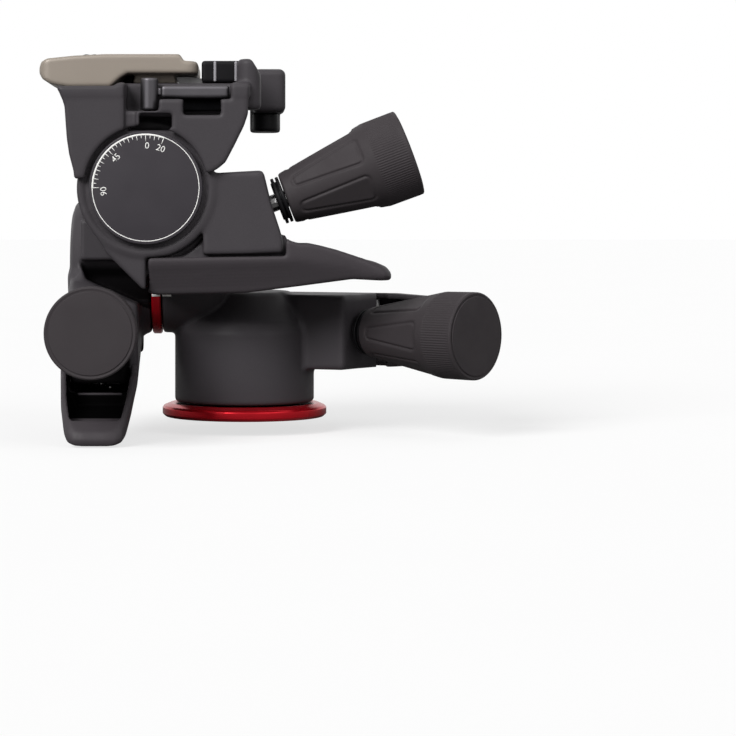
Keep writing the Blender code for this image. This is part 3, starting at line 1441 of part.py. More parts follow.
def add_plate(frame):
    """The camera plate on its dovetail rail, its pads and the camera screw."""
    plate = prism(
        "camera_plate",
        (
            (PLATE_LEFT, PLATE_NEAR + PLATE_CORNER),
            (PLATE_LEFT + PLATE_CORNER, PLATE_NEAR),
            (PLATE_RIGHT - PLATE_CORNER / 3, PLATE_NEAR),
            (PLATE_RIGHT, PLATE_NEAR + PLATE_CORNER / 3),
            (PLATE_RIGHT, PLATE_FAR - PLATE_CORNER / 3),
            (PLATE_RIGHT - PLATE_CORNER / 3, PLATE_FAR),
            (PLATE_LEFT + PLATE_CORNER, PLATE_FAR),
            (PLATE_LEFT, PLATE_FAR - PLATE_CORNER),
        ),
        PLATE_BOTTOM,
        PLATE_TOP,
        None,
        CAMERA_PLATE,
    )
    step = block(
        "plate_step",
        (PLATE_STEP_X, PLATE_NEAR - OVERRUN, PLATE_STEP_TOP),
        (PLATE_RIGHT + OVERRUN, PLATE_FAR + OVERRUN, PLATE_TOP + OVERRUN),
        None,
    )
    seat = DECK_TOP + TOUCH_GAP
    foot = prism(
        "plate_foot",
        (
            (FOOT_LEFT + FOOT_FLANK / 2, seat),
            (FOOT_RIGHT, seat),
            (FOOT_RIGHT + FOOT_FLANK - JAW_GAP, PLATE_BOTTOM + OVERRUN / 3),
            (FOOT_LEFT, PLATE_BOTTOM + OVERRUN / 3),
        ),
        -PLATE_FAR,
        -PLATE_NEAR,
        frame,
    )
    rail = prism(
        "plate_rail",
        (
            (RAIL_LEFT, seat),
            (RAIL_RIGHT, seat),
            (RAIL_RIGHT - RAIL_UNDERCUT, seat + RAIL_HEIGHT),
            (RAIL_RIGHT - RAIL_UNDERCUT, PLATE_BOTTOM + OVERRUN / 3),
            (RAIL_LEFT + RAIL_UNDERCUT, PLATE_BOTTOM + OVERRUN / 3),
            (RAIL_LEFT + RAIL_UNDERCUT, seat + RAIL_HEIGHT),
        ),
        -PLATE_FAR,
        DECK_NEAR * -1 - BAR_POCKET_DEPTH - RUN_GAP,
        frame,
    )
    screw_x = (RAIL_LEFT + RAIL_RIGHT) / 2
    screw_y = (PLATE_NEAR + PLATE_FAR) / 2
    head_bottom = seat + TOUCH_GAP
    head_top = head_bottom + CAMERA_SCREW_HEAD_HEIGHT
    head_recess = rod(
        "screw_head_recess",
        CAMERA_SCREW_HEAD_RADIUS + RUN_GAP,
        (screw_x, screw_y, seat - OVERRUN),
        (screw_x, screw_y, head_top + CAMERA_SCREW_DEEPENING),
        None,
    )
    screw_hole = rod(
        "camera_screw_hole",
        CAMERA_SCREW_RADIUS + RUN_GAP,
        (screw_x, screw_y, seat),
        (screw_x, screw_y, PLATE_TOP + OVERRUN),
        None,
    )
    cut(plate, step)
    join(plate, foot, rail)
    cut(plate, head_recess, screw_hole)

    screw = turned(
        "camera_screw",
        (
            (head_bottom, CAMERA_SCREW_HEAD_RADIUS),
            (head_top, CAMERA_SCREW_HEAD_RADIUS),
            (head_top, CAMERA_SCREW_RADIUS),
            (PLATE_TOP + PAD_HEIGHT - TOUCH_GAP, CAMERA_SCREW_RADIUS),
        ),
        (screw_x, screw_y, 0),
        (0, 0, 1),
        None,
        STEEL,
        sides=SMALL_SIDES,
    )
    slot = block(
        "camera_screw_slot",
        (screw_x - CAMERA_SCREW_HEAD_RADIUS * 2, screw_y - CAMERA_SCREW_SLOT / 2, head_bottom - OVERRUN),
        (
            screw_x + CAMERA_SCREW_HEAD_RADIUS * 2,
            screw_y + CAMERA_SCREW_SLOT / 2,
            head_bottom + CAMERA_SCREW_HEAD_HEIGHT / 2,
        ),
        None,
    )
    cut(screw, slot)

    pad_right = PLATE_STEP_X - PAD_MARGIN / 2
    pad = block(
        "plate_pad",
        (PLATE_LEFT + PAD_MARGIN, PLATE_NEAR + PAD_MARGIN, PLATE_TOP + TOUCH_GAP),
        (pad_right, PLATE_FAR - PAD_MARGIN, PLATE_TOP + PAD_HEIGHT),
        None,
        PAD,
    )
    cut(pad, screw_hole)


def add_clamp(frame):
    """The sliding jaw, the clamp lever on its bolt, the safety catch and the bubble level."""
    jaw = prism(
        "clamp_jaw",
        (
            (RAIL_RIGHT + JAW_GAP, DECK_TOP + TOUCH_GAP),
            (JAW_SLIDE_RIGHT, DECK_TOP + TOUCH_GAP),
            (JAW_SLIDE_RIGHT, DECK_TOP + TOUCH_GAP + RAIL_HEIGHT / 2),
            (RAIL_RIGHT + JAW_GAP + JAW_WIDTH, DECK_TOP + JAW_HEIGHT),
            (RAIL_RIGHT + JAW_GAP - RAIL_UNDERCUT, DECK_TOP + JAW_HEIGHT),
        ),
        -JAW_FAR,
        -JAW_NEAR,
        frame,
        STEEL,
    )
    bolt = turned(
        "clamp_lever_bolt",
        (
            (LEVER_STEM_BOTTOM, LEVER_BOLT_RADIUS),
            (LEVER_TOP - TOUCH_GAP, LEVER_BOLT_RADIUS),
        ),
        (LEVER_AXIS_X, LEVER_AXIS_Y, 0),
        (0, 0, 1),
        None,
        STEEL,
        sides=PIN_SIDES,
    )
    lever = block(
        "clamp_lever",
        (LEVER_LEFT, LEVER_NEAR, LEVER_BOTTOM),
        (LEVER_RIGHT, LEVER_AXIS_Y, LEVER_TOP),
        None,
        CASTING,
        rounding=LEVER_CORNER,
    )
    hub = rod(
        "clamp_lever_hub",
        BRACKET_HALF_WIDTH,
        (LEVER_AXIS_X, LEVER_AXIS_Y, LEVER_STEM_BOTTOM),
        (LEVER_AXIS_X, LEVER_AXIS_Y, LEVER_TOP),
        None,
    )
    stem = rod(
        "clamp_lever_tab",
        LEVER_STEM_RADIUS,
        (LEVER_AXIS_X, (LEVER_NEAR + LEVER_AXIS_Y) / 2 - LEVER_CORNER, LEVER_STEM_BOTTOM),
        (LEVER_AXIS_X, (LEVER_NEAR + LEVER_AXIS_Y) / 2 - LEVER_CORNER, LEVER_TOP - LEVER_CORNER),
        None,
    )
    join(lever, hub, stem)
    slot_radius = BRACKET_HALF_WIDTH + 2 * RUN_GAP
    slot_outline = tongue_outline(LEVER_LEFT - OVERRUN, slot_radius)
    slot = prism(
        "clamp_lever_slot", slot_outline, DECK_BOTTOM - RUN_GAP, DECK_TOP + RUN_GAP, None
    )
    bore = rod(
        "clamp_lever_bore",
        LEVER_BOLT_RADIUS + RUN_GAP,
        (LEVER_AXIS_X, LEVER_AXIS_Y, LEVER_STEM_BOTTOM - OVERRUN),
        (LEVER_AXIS_X, LEVER_AXIS_Y, LEVER_TOP + OVERRUN),
        None,
        sides=PIN_SIDES,
    )
    cut(lever, slot, bore)

    catch = turned(
        "safety_catch",
        (
            (BAR_POCKET_BOTTOM - BAR_POCKET_WALL + TOUCH_GAP, CATCH_PIN_RADIUS),
            (BAR_POCKET_BOTTOM + TOUCH_GAP, CATCH_PIN_RADIUS),
            (BAR_POCKET_BOTTOM + TOUCH_GAP, CATCH_POST_RADIUS),
            (CATCH_POST_TOP, CATCH_POST_RADIUS),
        ),
        (CATCH_POST_X, CATCH_POST_Y, 0),
        (0, 0, 1),
        None,
        STEEL,
        sides=SMALL_SIDES,
    )
    bar = rod(
        "catch_bar",
        CATCH_BAR_RADIUS,
        (CATCH_POST_X, CATCH_POST_Y, CATCH_BAR_HEIGHT),
        (CATCH_BAR_RIGHT, CATCH_POST_Y, CATCH_BAR_HEIGHT),
        None,
        sides=PIN_SIDES,
    )
    join(catch, bar)

    holder = block(
        "level_holder",
        (LEVEL_LEFT, LEVEL_NEAR, DECK_TOP + TOUCH_GAP),
        (LEVEL_RIGHT, LEVEL_FAR, LEVEL_TOP),
        None,
        PLASTIC,
    )
    middle_y = (LEVEL_NEAR + LEVEL_FAR) / 2
    vial_z = LEVEL_TOP - VIAL_RADIUS
    tunnel = rod(
        "vial_tunnel",
        VIAL_RADIUS + TOUCH_GAP,
        (LEVEL_LEFT + VIAL_END_WALL - TOUCH_GAP, middle_y, vial_z),
        (LEVEL_RIGHT - VIAL_END_WALL + TOUCH_GAP, middle_y, vial_z),
        None,
    )
    window = block(
        "vial_window",
        (LEVEL_LEFT + 2 * VIAL_END_WALL, middle_y - VIAL_WINDOW / 2, vial_z),
        (LEVEL_RIGHT - 2 * VIAL_END_WALL, middle_y + VIAL_WINDOW / 2, LEVEL_TOP + OVERRUN),
        None,
    )
    cut(holder, tunnel, window)
    rod(
        "level_vial",
        VIAL_RADIUS,
        (LEVEL_LEFT + VIAL_END_WALL, middle_y, vial_z),
        (LEVEL_RIGHT - VIAL_END_WALL, middle_y, vial_z),
        None,
        LIQUID,
    )
    return jaw, bolt


pan_along = Vector((math.cos(PAN_UNIT_ANGLE), -math.sin(PAN_UNIT_ANGLE), 0))
pan_across = Vector((math.sin(PAN_UNIT_ANGLE), math.cos(PAN_UNIT_ANGLE), 0))
pan_origin = GEAR_CENTRES * pan_across + Vector((0, 0, PAN_UNIT_HEIGHT))
pan_frame = drive_unit("pan", pan_origin, pan_along, pan_across)
worm_wheel("pan_worm_wheel", pan_frame, BRASS)

roll_origin = Vector((ROLL_UNIT_X, 0, ROLL_AXIS_HEIGHT - GEAR_CENTRES))
roll_frame = drive_unit("roll", roll_origin, Vector((0, -1, 0)), Vector((0, 0, -1)))
worm_wheel("roll_worm_wheel", roll_frame, BRASS)

tilt_along = Vector((math.cos(TILT_UNIT_SLOPE), 0, math.sin(TILT_UNIT_SLOPE)))
tilt_across = Vector((math.sin(TILT_UNIT_SLOPE), 0, -math.cos(TILT_UNIT_SLOPE)))
tilt_axis_point = Vector((TILT_AXIS_X, TILT_UNIT_Y, TILT_AXIS_HEIGHT))
tilt_frame = drive_unit(
    "tilt", tilt_axis_point + GEAR_CENTRES * tilt_across, tilt_along, tilt_across
)
worm_wheel("tilt_worm_wheel", tilt_frame, BRASS)

add_base()
add_pan_housing(pan_frame)
side_housing = add_roll_housing(roll_frame)
add_tilt_housing(tilt_frame, side_housing)
platform_frame = add_platform()
add_plate(platform_frame)
add_clamp(platform_frame)
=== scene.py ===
import math
from functools import partial

import bmesh
import bpy
import numpy as np
from bpy.props import FloatProperty, FloatVectorProperty, IntProperty, PointerProperty
from bpy.types import Operator, Panel, PropertyGroup
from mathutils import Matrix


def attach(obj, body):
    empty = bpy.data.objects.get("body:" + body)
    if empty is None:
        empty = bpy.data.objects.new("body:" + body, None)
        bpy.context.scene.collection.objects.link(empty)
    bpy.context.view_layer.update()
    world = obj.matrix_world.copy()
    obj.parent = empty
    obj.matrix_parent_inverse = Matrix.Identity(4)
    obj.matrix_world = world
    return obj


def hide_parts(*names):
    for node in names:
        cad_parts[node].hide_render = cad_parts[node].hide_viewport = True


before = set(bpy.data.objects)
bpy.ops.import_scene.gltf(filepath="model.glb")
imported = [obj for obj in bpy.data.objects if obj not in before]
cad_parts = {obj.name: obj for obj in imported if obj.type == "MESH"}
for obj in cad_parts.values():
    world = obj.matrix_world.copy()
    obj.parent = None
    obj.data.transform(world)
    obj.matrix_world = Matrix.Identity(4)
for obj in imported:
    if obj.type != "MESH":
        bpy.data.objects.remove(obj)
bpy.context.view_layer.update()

bl_info = {
    "name": "Geared tripod head",
    "version": (1, 0, 0),
    "blender": (4, 5, 0),
    "location": "3D View > Sidebar > Tripod head",
    "description": "Castings, grips, dial and finishes of a geared tripod head round its packed frame",
    "category": "Object",
}

# Sizes in this file are millimetres until a mesh is made
MM = 0.001


def linear(hex_colour):
    """The linear red, green and blue of an sRGB hex colour."""
    shares = np.array([int(hex_colour[i : i + 2], 16) for i in (0, 2, 4)]) / 255
    return tuple(np.where(shares <= 0.04045, shares / 12.92, ((shares + 0.055) / 1.055) ** 2.4).tolist())


# Places that several pieces share, and the three drive units: foot, direction to the knob, direction off the wheel

GEAR_CENTRES = 20.5  # between a worm wheel's axis and its worm's
ROLL_Z = 55.0  # height of the side tilt's axis, which runs along x
TILT_X, TILT_Z = -34.0, 83.0  # place of the front tilt's axis, which runs along y
WHEEL_ROOM, SPINDLE_ROOM = 17.1, 9.8  # radii of the room round a worm wheel and round its bush
CLAMP_BOLT = (7.5, -6.0)  # x and y of the bolt that the clamp lever turns on
CAMERA_SCREW = (-31.5, -20.5)  # x and y of the screw in the plate
CATCH_PIN = (-33.5, -51.5)  # x and y of the pin that the safety catch turns on
PAN_TURN = math.radians(42)
TILT_SLOPE = math.radians(20.6)


def unit_place(foot, along, across):
    """A unit's foot and the three directions that its own coordinates u, v and w run in."""
    along = np.array(along, float)
    across = np.array(across, float)
    return np.array(foot, float), np.array([along, across, np.cross(along, across)])


UNITS = {
    "pan": unit_place(
        (GEAR_CENTRES * math.sin(PAN_TURN), GEAR_CENTRES * math.cos(PAN_TURN), 31.3),
        (math.cos(PAN_TURN), -math.sin(PAN_TURN), 0),
        (math.sin(PAN_TURN), math.cos(PAN_TURN), 0),
    ),
    "roll": unit_place((-51, 0, ROLL_Z - GEAR_CENTRES), (0, -1, 0), (0, 0, -1)),
    "tilt": unit_place(
        (TILT_X + GEAR_CENTRES * math.sin(TILT_SLOPE), -40, TILT_Z - GEAR_CENTRES * math.cos(TILT_SLOPE)),
        (math.cos(TILT_SLOPE), 0, math.sin(TILT_SLOPE)),
        (math.sin(TILT_SLOPE), 0, -math.cos(TILT_SLOPE)),
    ),
}
UNIT_HOUSINGS = {"pan": "pan", "roll": "roll", "tilt": "roll"}

# Outlines of a drive unit in u and v, and the wing's plan in u and w

PIVOT = (30.0, 19.5)  # u and v of the pin that a wing swings on
HALF_WIDTH = 13.5  # of a nose and of a wing at its ridge
NOSE_OUTLINE = (
    (23.0, -17.3), (38.4, -12.5), (39.6, -12.0), (39.9, -10.6), (38.6, 0.0), (38.2, 10.0), (37.6, 14.4), (36.3, 17.2),
    (-8.4, 1.4), (-12.9, 13.2), (-21.0, -4.5), (-23.1, -21.0), (1.3, -19.0),
)
WING_OUTLINE = (
    (-7.9, 2.3), (36.9, 18.5), (39.2, 12.2), (40.7, 14.6), (42.9, 16.2), (46.2, 17.4), (50.4, 20.1), (55.1, 23.4),
    (59.6, 26.9), (64.2, 30.4), (68.6, 34.6), (69.9, 37.2), (68.6, 39.6), (64.9, 38.3), (55.8, 34.3),
    (38.5, 30.3), (19.5, 25.8), (-9.6, 15.6), (-12.5, 13.9),
)
WING_PLAN = (
    (-16.0, -9.0), (-14.5, 13.5), (40.0, 13.5), (55.0, 12.3), (63.0, 10.9), (67.0, 9.6), (69.3, 7.2), (70.2, 4.0),
    (70.2, -9.0),
)
WING_HOLLOW = ((-16.1, -5.1), (36.5, -5.1), (36.5, 27.5), (19.5, 23.5), (-9.0, 13.4), (-16.1, 9.5))
WING_TROUGH = (
    (36.0, 0.0), (36.0, 23.4), (38.8, 23.4), (38.8, 28.0), (55.2, 31.7), (62.6, 34.8), (64.6, 34.4), (63.2, 26.0),
    (52.0, 0.0),
)


# Distance fields: castings with soft edges and fillets, which no grid of two parameters gives

def grid_of(low, high, share=1.0, cell=None):
    """Three thin arrays of x, y and z that together cover a box with a grid, whose cell is a share of the user's."""
    cell = cell or bpy.context.scene.tripod_head_sizes.casting_cell * share
    axes = [np.arange(a - 2 * cell, b + 3 * cell, cell, dtype=np.float32) for a, b in zip(low, high)]
    return axes[0][:, None, None], axes[1][None, :, None], axes[2][None, None, :]


def along(grid, start, direction):
    """Distance of every grid point from a start along a direction, as thin as the direction allows."""
    total = np.float32(0)
    for axis, begin, share in zip(grid, start, direction):
        if abs(share) > 1e-9:
            total = total + (axis - np.float32(begin)) * np.float32(share)
    return total


def unit_grid(grid, label):
    """The coordinates u, v and w of a drive unit at every grid point."""
    foot, turn = UNITS[label]
    return [along(grid, foot, direction) for direction in turn]


def polygon(p, q, outline, shrink=0.0):
    """Signed distance to a closed outline: the nearest edge's distance, negative where a ray crosses edges an
    odd number of times. With a shrink the outline is moved inwards and grown again, which rounds its corners."""
    points = np.array(outline, float)
    if shrink:
        before = points - np.roll(points, 1, axis=0)
        after = np.roll(points, -1, axis=0) - points
        before /= np.linalg.norm(before, axis=1)[:, None]
        after /= np.linalg.norm(after, axis=1)[:, None]
        edges = np.roll(points, -1, axis=0)
        side = np.sign(np.sum(points[:, 0] * edges[:, 1] - edges[:, 0] * points[:, 1]))
        inward = side * np.stack([-before[:, 1] - after[:, 1], before[:, 0] + after[:, 0]], axis=1)
        points = points + shrink * inward / (1 + np.sum(before * after, axis=1))[:, None]
    near = np.float32(1e9)
    inside = np.zeros(np.broadcast_shapes(np.shape(p), np.shape(q)), bool)
    for (ax, ay), (bx, by) in zip(points.tolist(), np.roll(points, -1, axis=0).tolist()):
        ex, ey = bx - ax, by - ay
        share = np.clip(((p - ax) * ex + (q - ay) * ey) / (ex * ex + ey * ey), 0, 1)
        near = np.minimum(near, (p - ax - share * ex) ** 2 + (q - ay - share * ey) ** 2)
        if ay != by:
            inside ^= ((ay > q) != (by > q)) & (p < ax + (q - ay) * ex / ey)
    return np.where(inside, -np.sqrt(near), np.sqrt(near)) - np.float32(shrink)


def both(*shapes, edge=0.0):
    """Where all the shapes are: the largest distance, with the edges between them rounded to a radius."""
    met, *others = shapes
    for shape in others:
        if np.ndim(edge) == 0 and not edge:
            met = np.maximum(met, shape)
        else:
            outside = np.hypot(np.maximum(met + edge, 0), np.maximum(shape + edge, 0))
            met = np.minimum(np.maximum(met, shape) + edge, 0) + outside - edge
    return met


def either(*shapes, fillet=0.0):
    """Where any shape is: the smallest distance, with fillets of a radius in the corners between them."""
    met, *others = shapes
    for shape in others:
        if fillet:
            inside = np.hypot(np.maximum(fillet - met, 0), np.maximum(fillet - shape, 0))
            met = np.maximum(np.minimum(met, shape), fillet) - inside
        else:
            met = np.minimum(met, shape)
    return met


def carve(shape, *tools, edge=0.0):
    """A shape without the tools' room."""
    return both(shape, *(-tool for tool in tools), edge=edge)


def slab(axis, low, high):
    """Signed distance to the space between two planes."""
    return np.abs(axis - (low + high) / 2) - (high - low) / 2


def box(grid, low, high, edge=0.0):
    """Signed distance to a box, its edges rounded to a radius."""
    return both(*(slab(*sides) for sides in zip(grid, low, high)), edge=edge)


def rod(p, q, centre, radius):
    """Signed distance to an endless cylinder across the plane of p and q."""
    return np.hypot(p - centre[0], q - centre[1]) - radius


def round_bar(p, q, t, centre, radius, low, high, edge=0.0):
    """Signed distance to a cylinder that runs along t."""
    return both(rod(p, q, centre, radius), slab(t, low, high), edge=edge)


def softened(field, passes):
    """The field averaged with its neighbours along each axis, in place, as blasting and paint soften a cast edge."""
    field = np.ascontiguousarray(field, np.float32)
    for _ in range(passes):
        for axis in range(3):
            view = np.moveaxis(field, axis, 0)
            view[1:-1] = (view[:-2] + 2 * view[1:-1] + view[2:]) / 4
    return field


def zero_surface(field, grid):
    """The surface where the field is nought: one point in each cell that it crosses, the mean of the places where
    the cell's edges cross it, and one face across each crossed edge, turned outwards."""
    cell = float(grid[0][1, 0, 0] - grid[0][0, 0, 0])
    low = np.array([float(axis.ravel()[0]) for axis in grid])
    size = field.shape
    steps = np.array([size[1] * size[2], size[2], 1])
    places, owners = [], []
    for axis in range(3):
        order = (axis, (axis + 1) % 3, (axis + 2) % 3)
        turned = field.transpose(order)
        crossing = np.nonzero((turned[:-1] < 0) != (turned[1:] < 0))
        start, end = turned[:-1][crossing], turned[1:][crossing]
        place = np.empty((len(start), 3))
        place[:, order[0]] = crossing[0] + start / (start - end)
        place[:, order[1]] = crossing[1]
        place[:, order[2]] = crossing[2]
        corner = sum(crossing[i] * steps[order[i]] for i in range(3))
        back, side = steps[order[1]], steps[order[2]]
        ring = np.stack([corner - back - side, corner - side, corner, corner - back], axis=1)
        ring[start >= 0] = ring[start >= 0][:, ::-1]
        owners.append(ring)
        places.append(np.repeat(place[:, None], 4, axis=1))
    owners = np.concatenate(owners).reshape(-1)
    places = np.concatenate(places).reshape(-1, 3)
    _, index = np.unique(owners, return_inverse=True)
    index = index.reshape(-1)
    count = np.bincount(index)
    points = np.stack([np.bincount(index, weights=places[:, i]) / count for i in range(3)], axis=1)
    return points * cell + low, index.reshape(-1, 4)


# Surfaces of two parameters

def smoothed_profile(points, closed=False, segments=5):
    """A profile whose corners, given as (t, r, radius), become arcs, with a point beside each arc that keeps the
    flats flat."""
    rows = [tuple(point) + (0.0,) * (3 - len(point)) for point in points]
    found = []
    for i, (t, r, radius) in enumerate(rows):
        if not closed and i in (0, len(rows) - 1) or not radius:
            found.append((t, r))
            continue
        corner = np.array((t, r))
        before = np.array(rows[i - 1][:2]) - corner
        after = np.array(rows[(i + 1) % len(rows)][:2]) - corner
        a, b = before / np.linalg.norm(before), after / np.linalg.norm(after)
        half = math.acos(max(-1.0, min(1.0, float(a @ b)))) / 2
        reach = min(radius / math.tan(half), 0.48 * np.linalg.norm(before), 0.48 * np.linalg.norm(after))
        round_radius = reach * math.tan(half)
        centre = corner + (a + b) / np.linalg.norm(a + b) * round_radius / math.sin(half)
        start, end = corner + a * reach - centre, corner + b * reach - centre
        sweep = math.atan2(start[0] * end[1] - start[1] * end[0], start @ end)
        for share in np.linspace(0, 1, segments + 1):
            c, s = math.cos(sweep * share), math.sin(sweep * share)
            found.append(tuple(centre + (start[0] * c - start[1] * s, start[0] * s + start[1] * c)))
    return found


def turned_surface(profile, sides, closed=False):
    """A profile of (t, r) carried round the t axis: point (t, r cos a, r sin a) for a from 0 to a full turn. An open
    profile starts and ends on the axis, where each row of points is one point."""
    profile = np.array(profile, float)
    angle = np.arange(sides) * 2 * math.pi / sides
    t = np.repeat(profile[:, :1], sides, axis=1)
    points = np.stack([t, profile[:, 1:] * np.cos(angle), profile[:, 1:] * np.sin(angle)], axis=2)
    return points, ring_faces(len(profile), sides, closed)


def ring_faces(rows, sides, closed):
    """Faces of a grid of rows that each close on themselves; the rows close too where the grid is a ring."""
    row = np.arange(rows if closed else rows - 1)[:, None]
    column = np.arange(sides)[None]
    after, beside = (row + 1) % rows, (column + 1) % sides
    return np.stack([row * sides + column, row * sides + beside, after * sides + beside, after * sides + column],
                    axis=2).reshape(-1, 4)


def in_unit(points, label):
    """Points of a drive unit, in u, v and w, as world points."""
    foot, turn = UNITS[label]
    return foot + points @ turn


def about(points, origin, direction):
    """Points turned about the t axis, laid along a direction from an origin."""
    direction = np.array(direction, float)
    side = np.roll(np.abs(direction), 1)
    side = side - direction * (side @ direction)
    side /= np.linalg.norm(side)
    return np.array(origin, float) + points @ np.array([direction, side, np.cross(direction, side)])


def sheet_faces(rows, columns):
    """Faces of an open grid of points."""
    corner = np.arange(rows - 1)[:, None] * columns + np.arange(columns - 1)
    return np.stack([corner, corner + 1, corner + columns + 1, corner + columns], axis=2).reshape(-1, 4)


def raised(points, faces, lift):
    """A closed body from an open sheet: the sheet, the sheet moved by the lift, and walls along the edges that only
    one face has."""
    if faces.shape[1] == 4:
        faces = np.concatenate([faces[:, [0, 1, 2]], faces[:, [0, 2, 3]]])
    edges = np.stack([faces, np.roll(faces, -1, axis=1)], axis=2).reshape(-1, 2)
    _, first, times = np.unique(np.sort(edges, axis=1), axis=0, return_index=True, return_counts=True)
    start, end = edges[first[times == 1]].T
    top = len(points)
    walls = [np.stack(corners, axis=1) for corners in ((end + top, start + top, start), (end + top, start, end))]
    return np.concatenate([points, points + np.array(lift)]), np.concatenate([faces[:, ::-1], faces + top, *walls])


# Meshes and pieces

def mesh_object(name, points, faces, material, weld=False, flat_angle=None):
    """An object whose mesh has these points, in mm, and faces. Welding joins what lies together and turns the faces
    outwards; edges sharper than the flat angle stay sharp."""
    points = np.asarray(points, float).reshape(-1, 3)
    faces = np.asarray(faces)
    mesh = bpy.data.meshes.new(name)
    mesh.vertices.add(len(points))
    mesh.vertices.foreach_set("co", (points * MM).astype(np.float32).ravel())
    mesh.loops.add(faces.size)
    mesh.loops.foreach_set("vertex_index", faces.astype(np.int32).ravel())
    mesh.polygons.add(len(faces))
    mesh.polygons.foreach_set("loop_start", np.arange(0, faces.size, faces.shape[1], dtype=np.int32))
    mesh.update(calc_edges=True)
    mesh.validate()
    if weld:
        shape = bmesh.new()
        shape.from_mesh(mesh)
        bmesh.ops.remove_doubles(shape, verts=shape.verts, dist=2e-6)
        bmesh.ops.recalc_face_normals(shape, faces=shape.faces)
        shape.to_mesh(mesh)
        shape.free()
    mesh.shade_smooth()
    if flat_angle is not None:
        mesh.set_sharp_from_angle(angle=math.radians(flat_angle))
    mesh.materials.append(material)
    made = bpy.data.objects.new(name, mesh)
    bpy.context.scene.collection.objects.link(made)
    return made


def mesh_points(mesh):
    """The points of a mesh, one in each row."""
    points = np.empty(len(mesh.vertices) * 3, np.float32)
    mesh.vertices.foreach_get("co", points)
    return points.reshape(-1, 3)


def piece_of(name, points, faces, body, look, slot, replaces=None, **mesh_settings):
    """A piece with its finish, on the body that it rides, in place of the solid that it replaces."""
    piece = mesh_object(name, points, faces, finish(look), **mesh_settings)
    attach(piece, body)
    if replaces:
        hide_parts(replaces)
    return piece


def casting(name, field, grid, body, replaces=None, look="charcoal powder coat", slot="charcoal_casting", passes=None):
    """A piece made from a distance field, averaged as often as the user asks where no number of passes is given."""
    if passes is None:
        passes = bpy.context.scene.tripod_head_sizes.edge_softening
    return piece_of(name, *zero_surface(softened(field, passes), grid), body, look, slot, replaces)


def turned_piece(name, profile, sides, place, body, look, slot, replaces, closed=False):
    """A piece turned from a profile, placed by a function."""
    points, faces = turned_surface(smoothed_profile(profile, closed), sides, closed)
    piece_of(name, place(points.reshape(-1, 3)), faces, body, look, slot, replaces, weld=True, flat_angle=32)


def printed(name, points, faces, lift, body, slot):
    """A print: a sheet of ink raised off the face that it lies on, towards the front."""
    points, faces = raised(points, faces, (0, -lift, 0))
    piece_of(name, points, faces, body, "white print", slot, weld=True)


def set_painted_shade(piece, shade):
    """Writes into a piece how far each of its points is painted near black as painted shade."""
    lining = piece.data.attributes.new("lining", "FLOAT", "POINT")
    lining.data.foreach_set("value", shade.astype(np.float32))


# Materials

def add_node(tree, kind, inputs=None, links=None, **settings):
    """Adds a node, sets its properties and inputs, and links its inputs to other nodes' outputs."""
    node = tree.nodes.new(kind)
    for name, value in settings.items():
        setattr(node, name, value)
    for name, value in (inputs or {}).items():
        node.inputs[name].default_value = value
    for name, output in (links or {}).items():
        tree.links.new(output, node.inputs[name])
    return node


def surface(name, colour, roughness, metallic=0.0, specular=0.5, grain=0.3, bump=0.02, mottle=0.12, spread=0.08,
            streaks=None, paints_shade=False):
    """A finish: two sizes of noise in Object coordinates vary its colour, roughness and height.

    grain is the grain's size and bump its height, in mm; mottle and spread are how far the colour and the roughness
    stray; streaks stretches the grain along the axes, as brushing or turning does; a finish that paints shade turns
    matt black where an attribute of the mesh says so, which is painted shade in recesses and in the wings' troughs.
    """
    material = bpy.data.materials.new(name)
    material.use_nodes = True
    tree = material.node_tree
    shader = tree.nodes["Principled BSDF"]
    shader.inputs["Metallic"].default_value = metallic
    shader.inputs["Specular IOR Level"].default_value = specular
    place = add_node(tree, "ShaderNodeTexCoord").outputs["Object"]
    if streaks:
        place = add_node(tree, "ShaderNodeMapping", {"Scale": streaks}, {"Vector": place}).outputs[0]
    fine = add_node(tree, "ShaderNodeTexNoise", {"Scale": 1000 / grain, "Detail": 2.0}, {"Vector": place})
    broad = add_node(tree, "ShaderNodeTexNoise", {"Scale": 110.0, "Detail": 3.0}, {"Vector": place})
    dark = tuple(channel * (1 - mottle) for channel in colour) + (1.0,)
    light = tuple(min(1.0, channel * (1 + mottle)) for channel in colour) + (1.0,)
    tint = add_node(tree, "ShaderNodeMix", {6: dark, 7: light}, {0: fine.outputs["Fac"]}, data_type="RGBA")
    shown = tint.outputs[2]
    # Painted shade: where the mesh's attribute says so, the colour turns near black and the specular falls
    if paints_shade:
        lining = add_node(tree, "ShaderNodeAttribute", attribute_name="lining").outputs["Fac"]
        shown = add_node(tree, "ShaderNodeMix", {7: (0.0012, 0.0011, 0.0012, 1)}, {0: lining, 6: shown},
                         data_type="RGBA").outputs[2]
        level = add_node(tree, "ShaderNodeMapRange", {3: specular, 4: 0.01}, {0: lining})
        tree.links.new(level.outputs[0], shader.inputs["Specular IOR Level"])
    tree.links.new(shown, shader.inputs["Base Color"])
    rough = add_node(tree, "ShaderNodeMapRange", {1: 0.3, 2: 0.7, 3: roughness - spread, 4: roughness + spread},
                     {0: broad.outputs["Fac"]})
    tree.links.new(rough.outputs[0], shader.inputs["Roughness"])
    lift = add_node(tree, "ShaderNodeBump", {"Strength": 1.0, "Distance": bump * MM}, {"Height": fine.outputs["Fac"]})
    tree.links.new(lift.outputs[0], shader.inputs["Normal"])
    return material


# What each finish is to the eye; its colour is an sRGB hex value or the name of a colour that a user may change

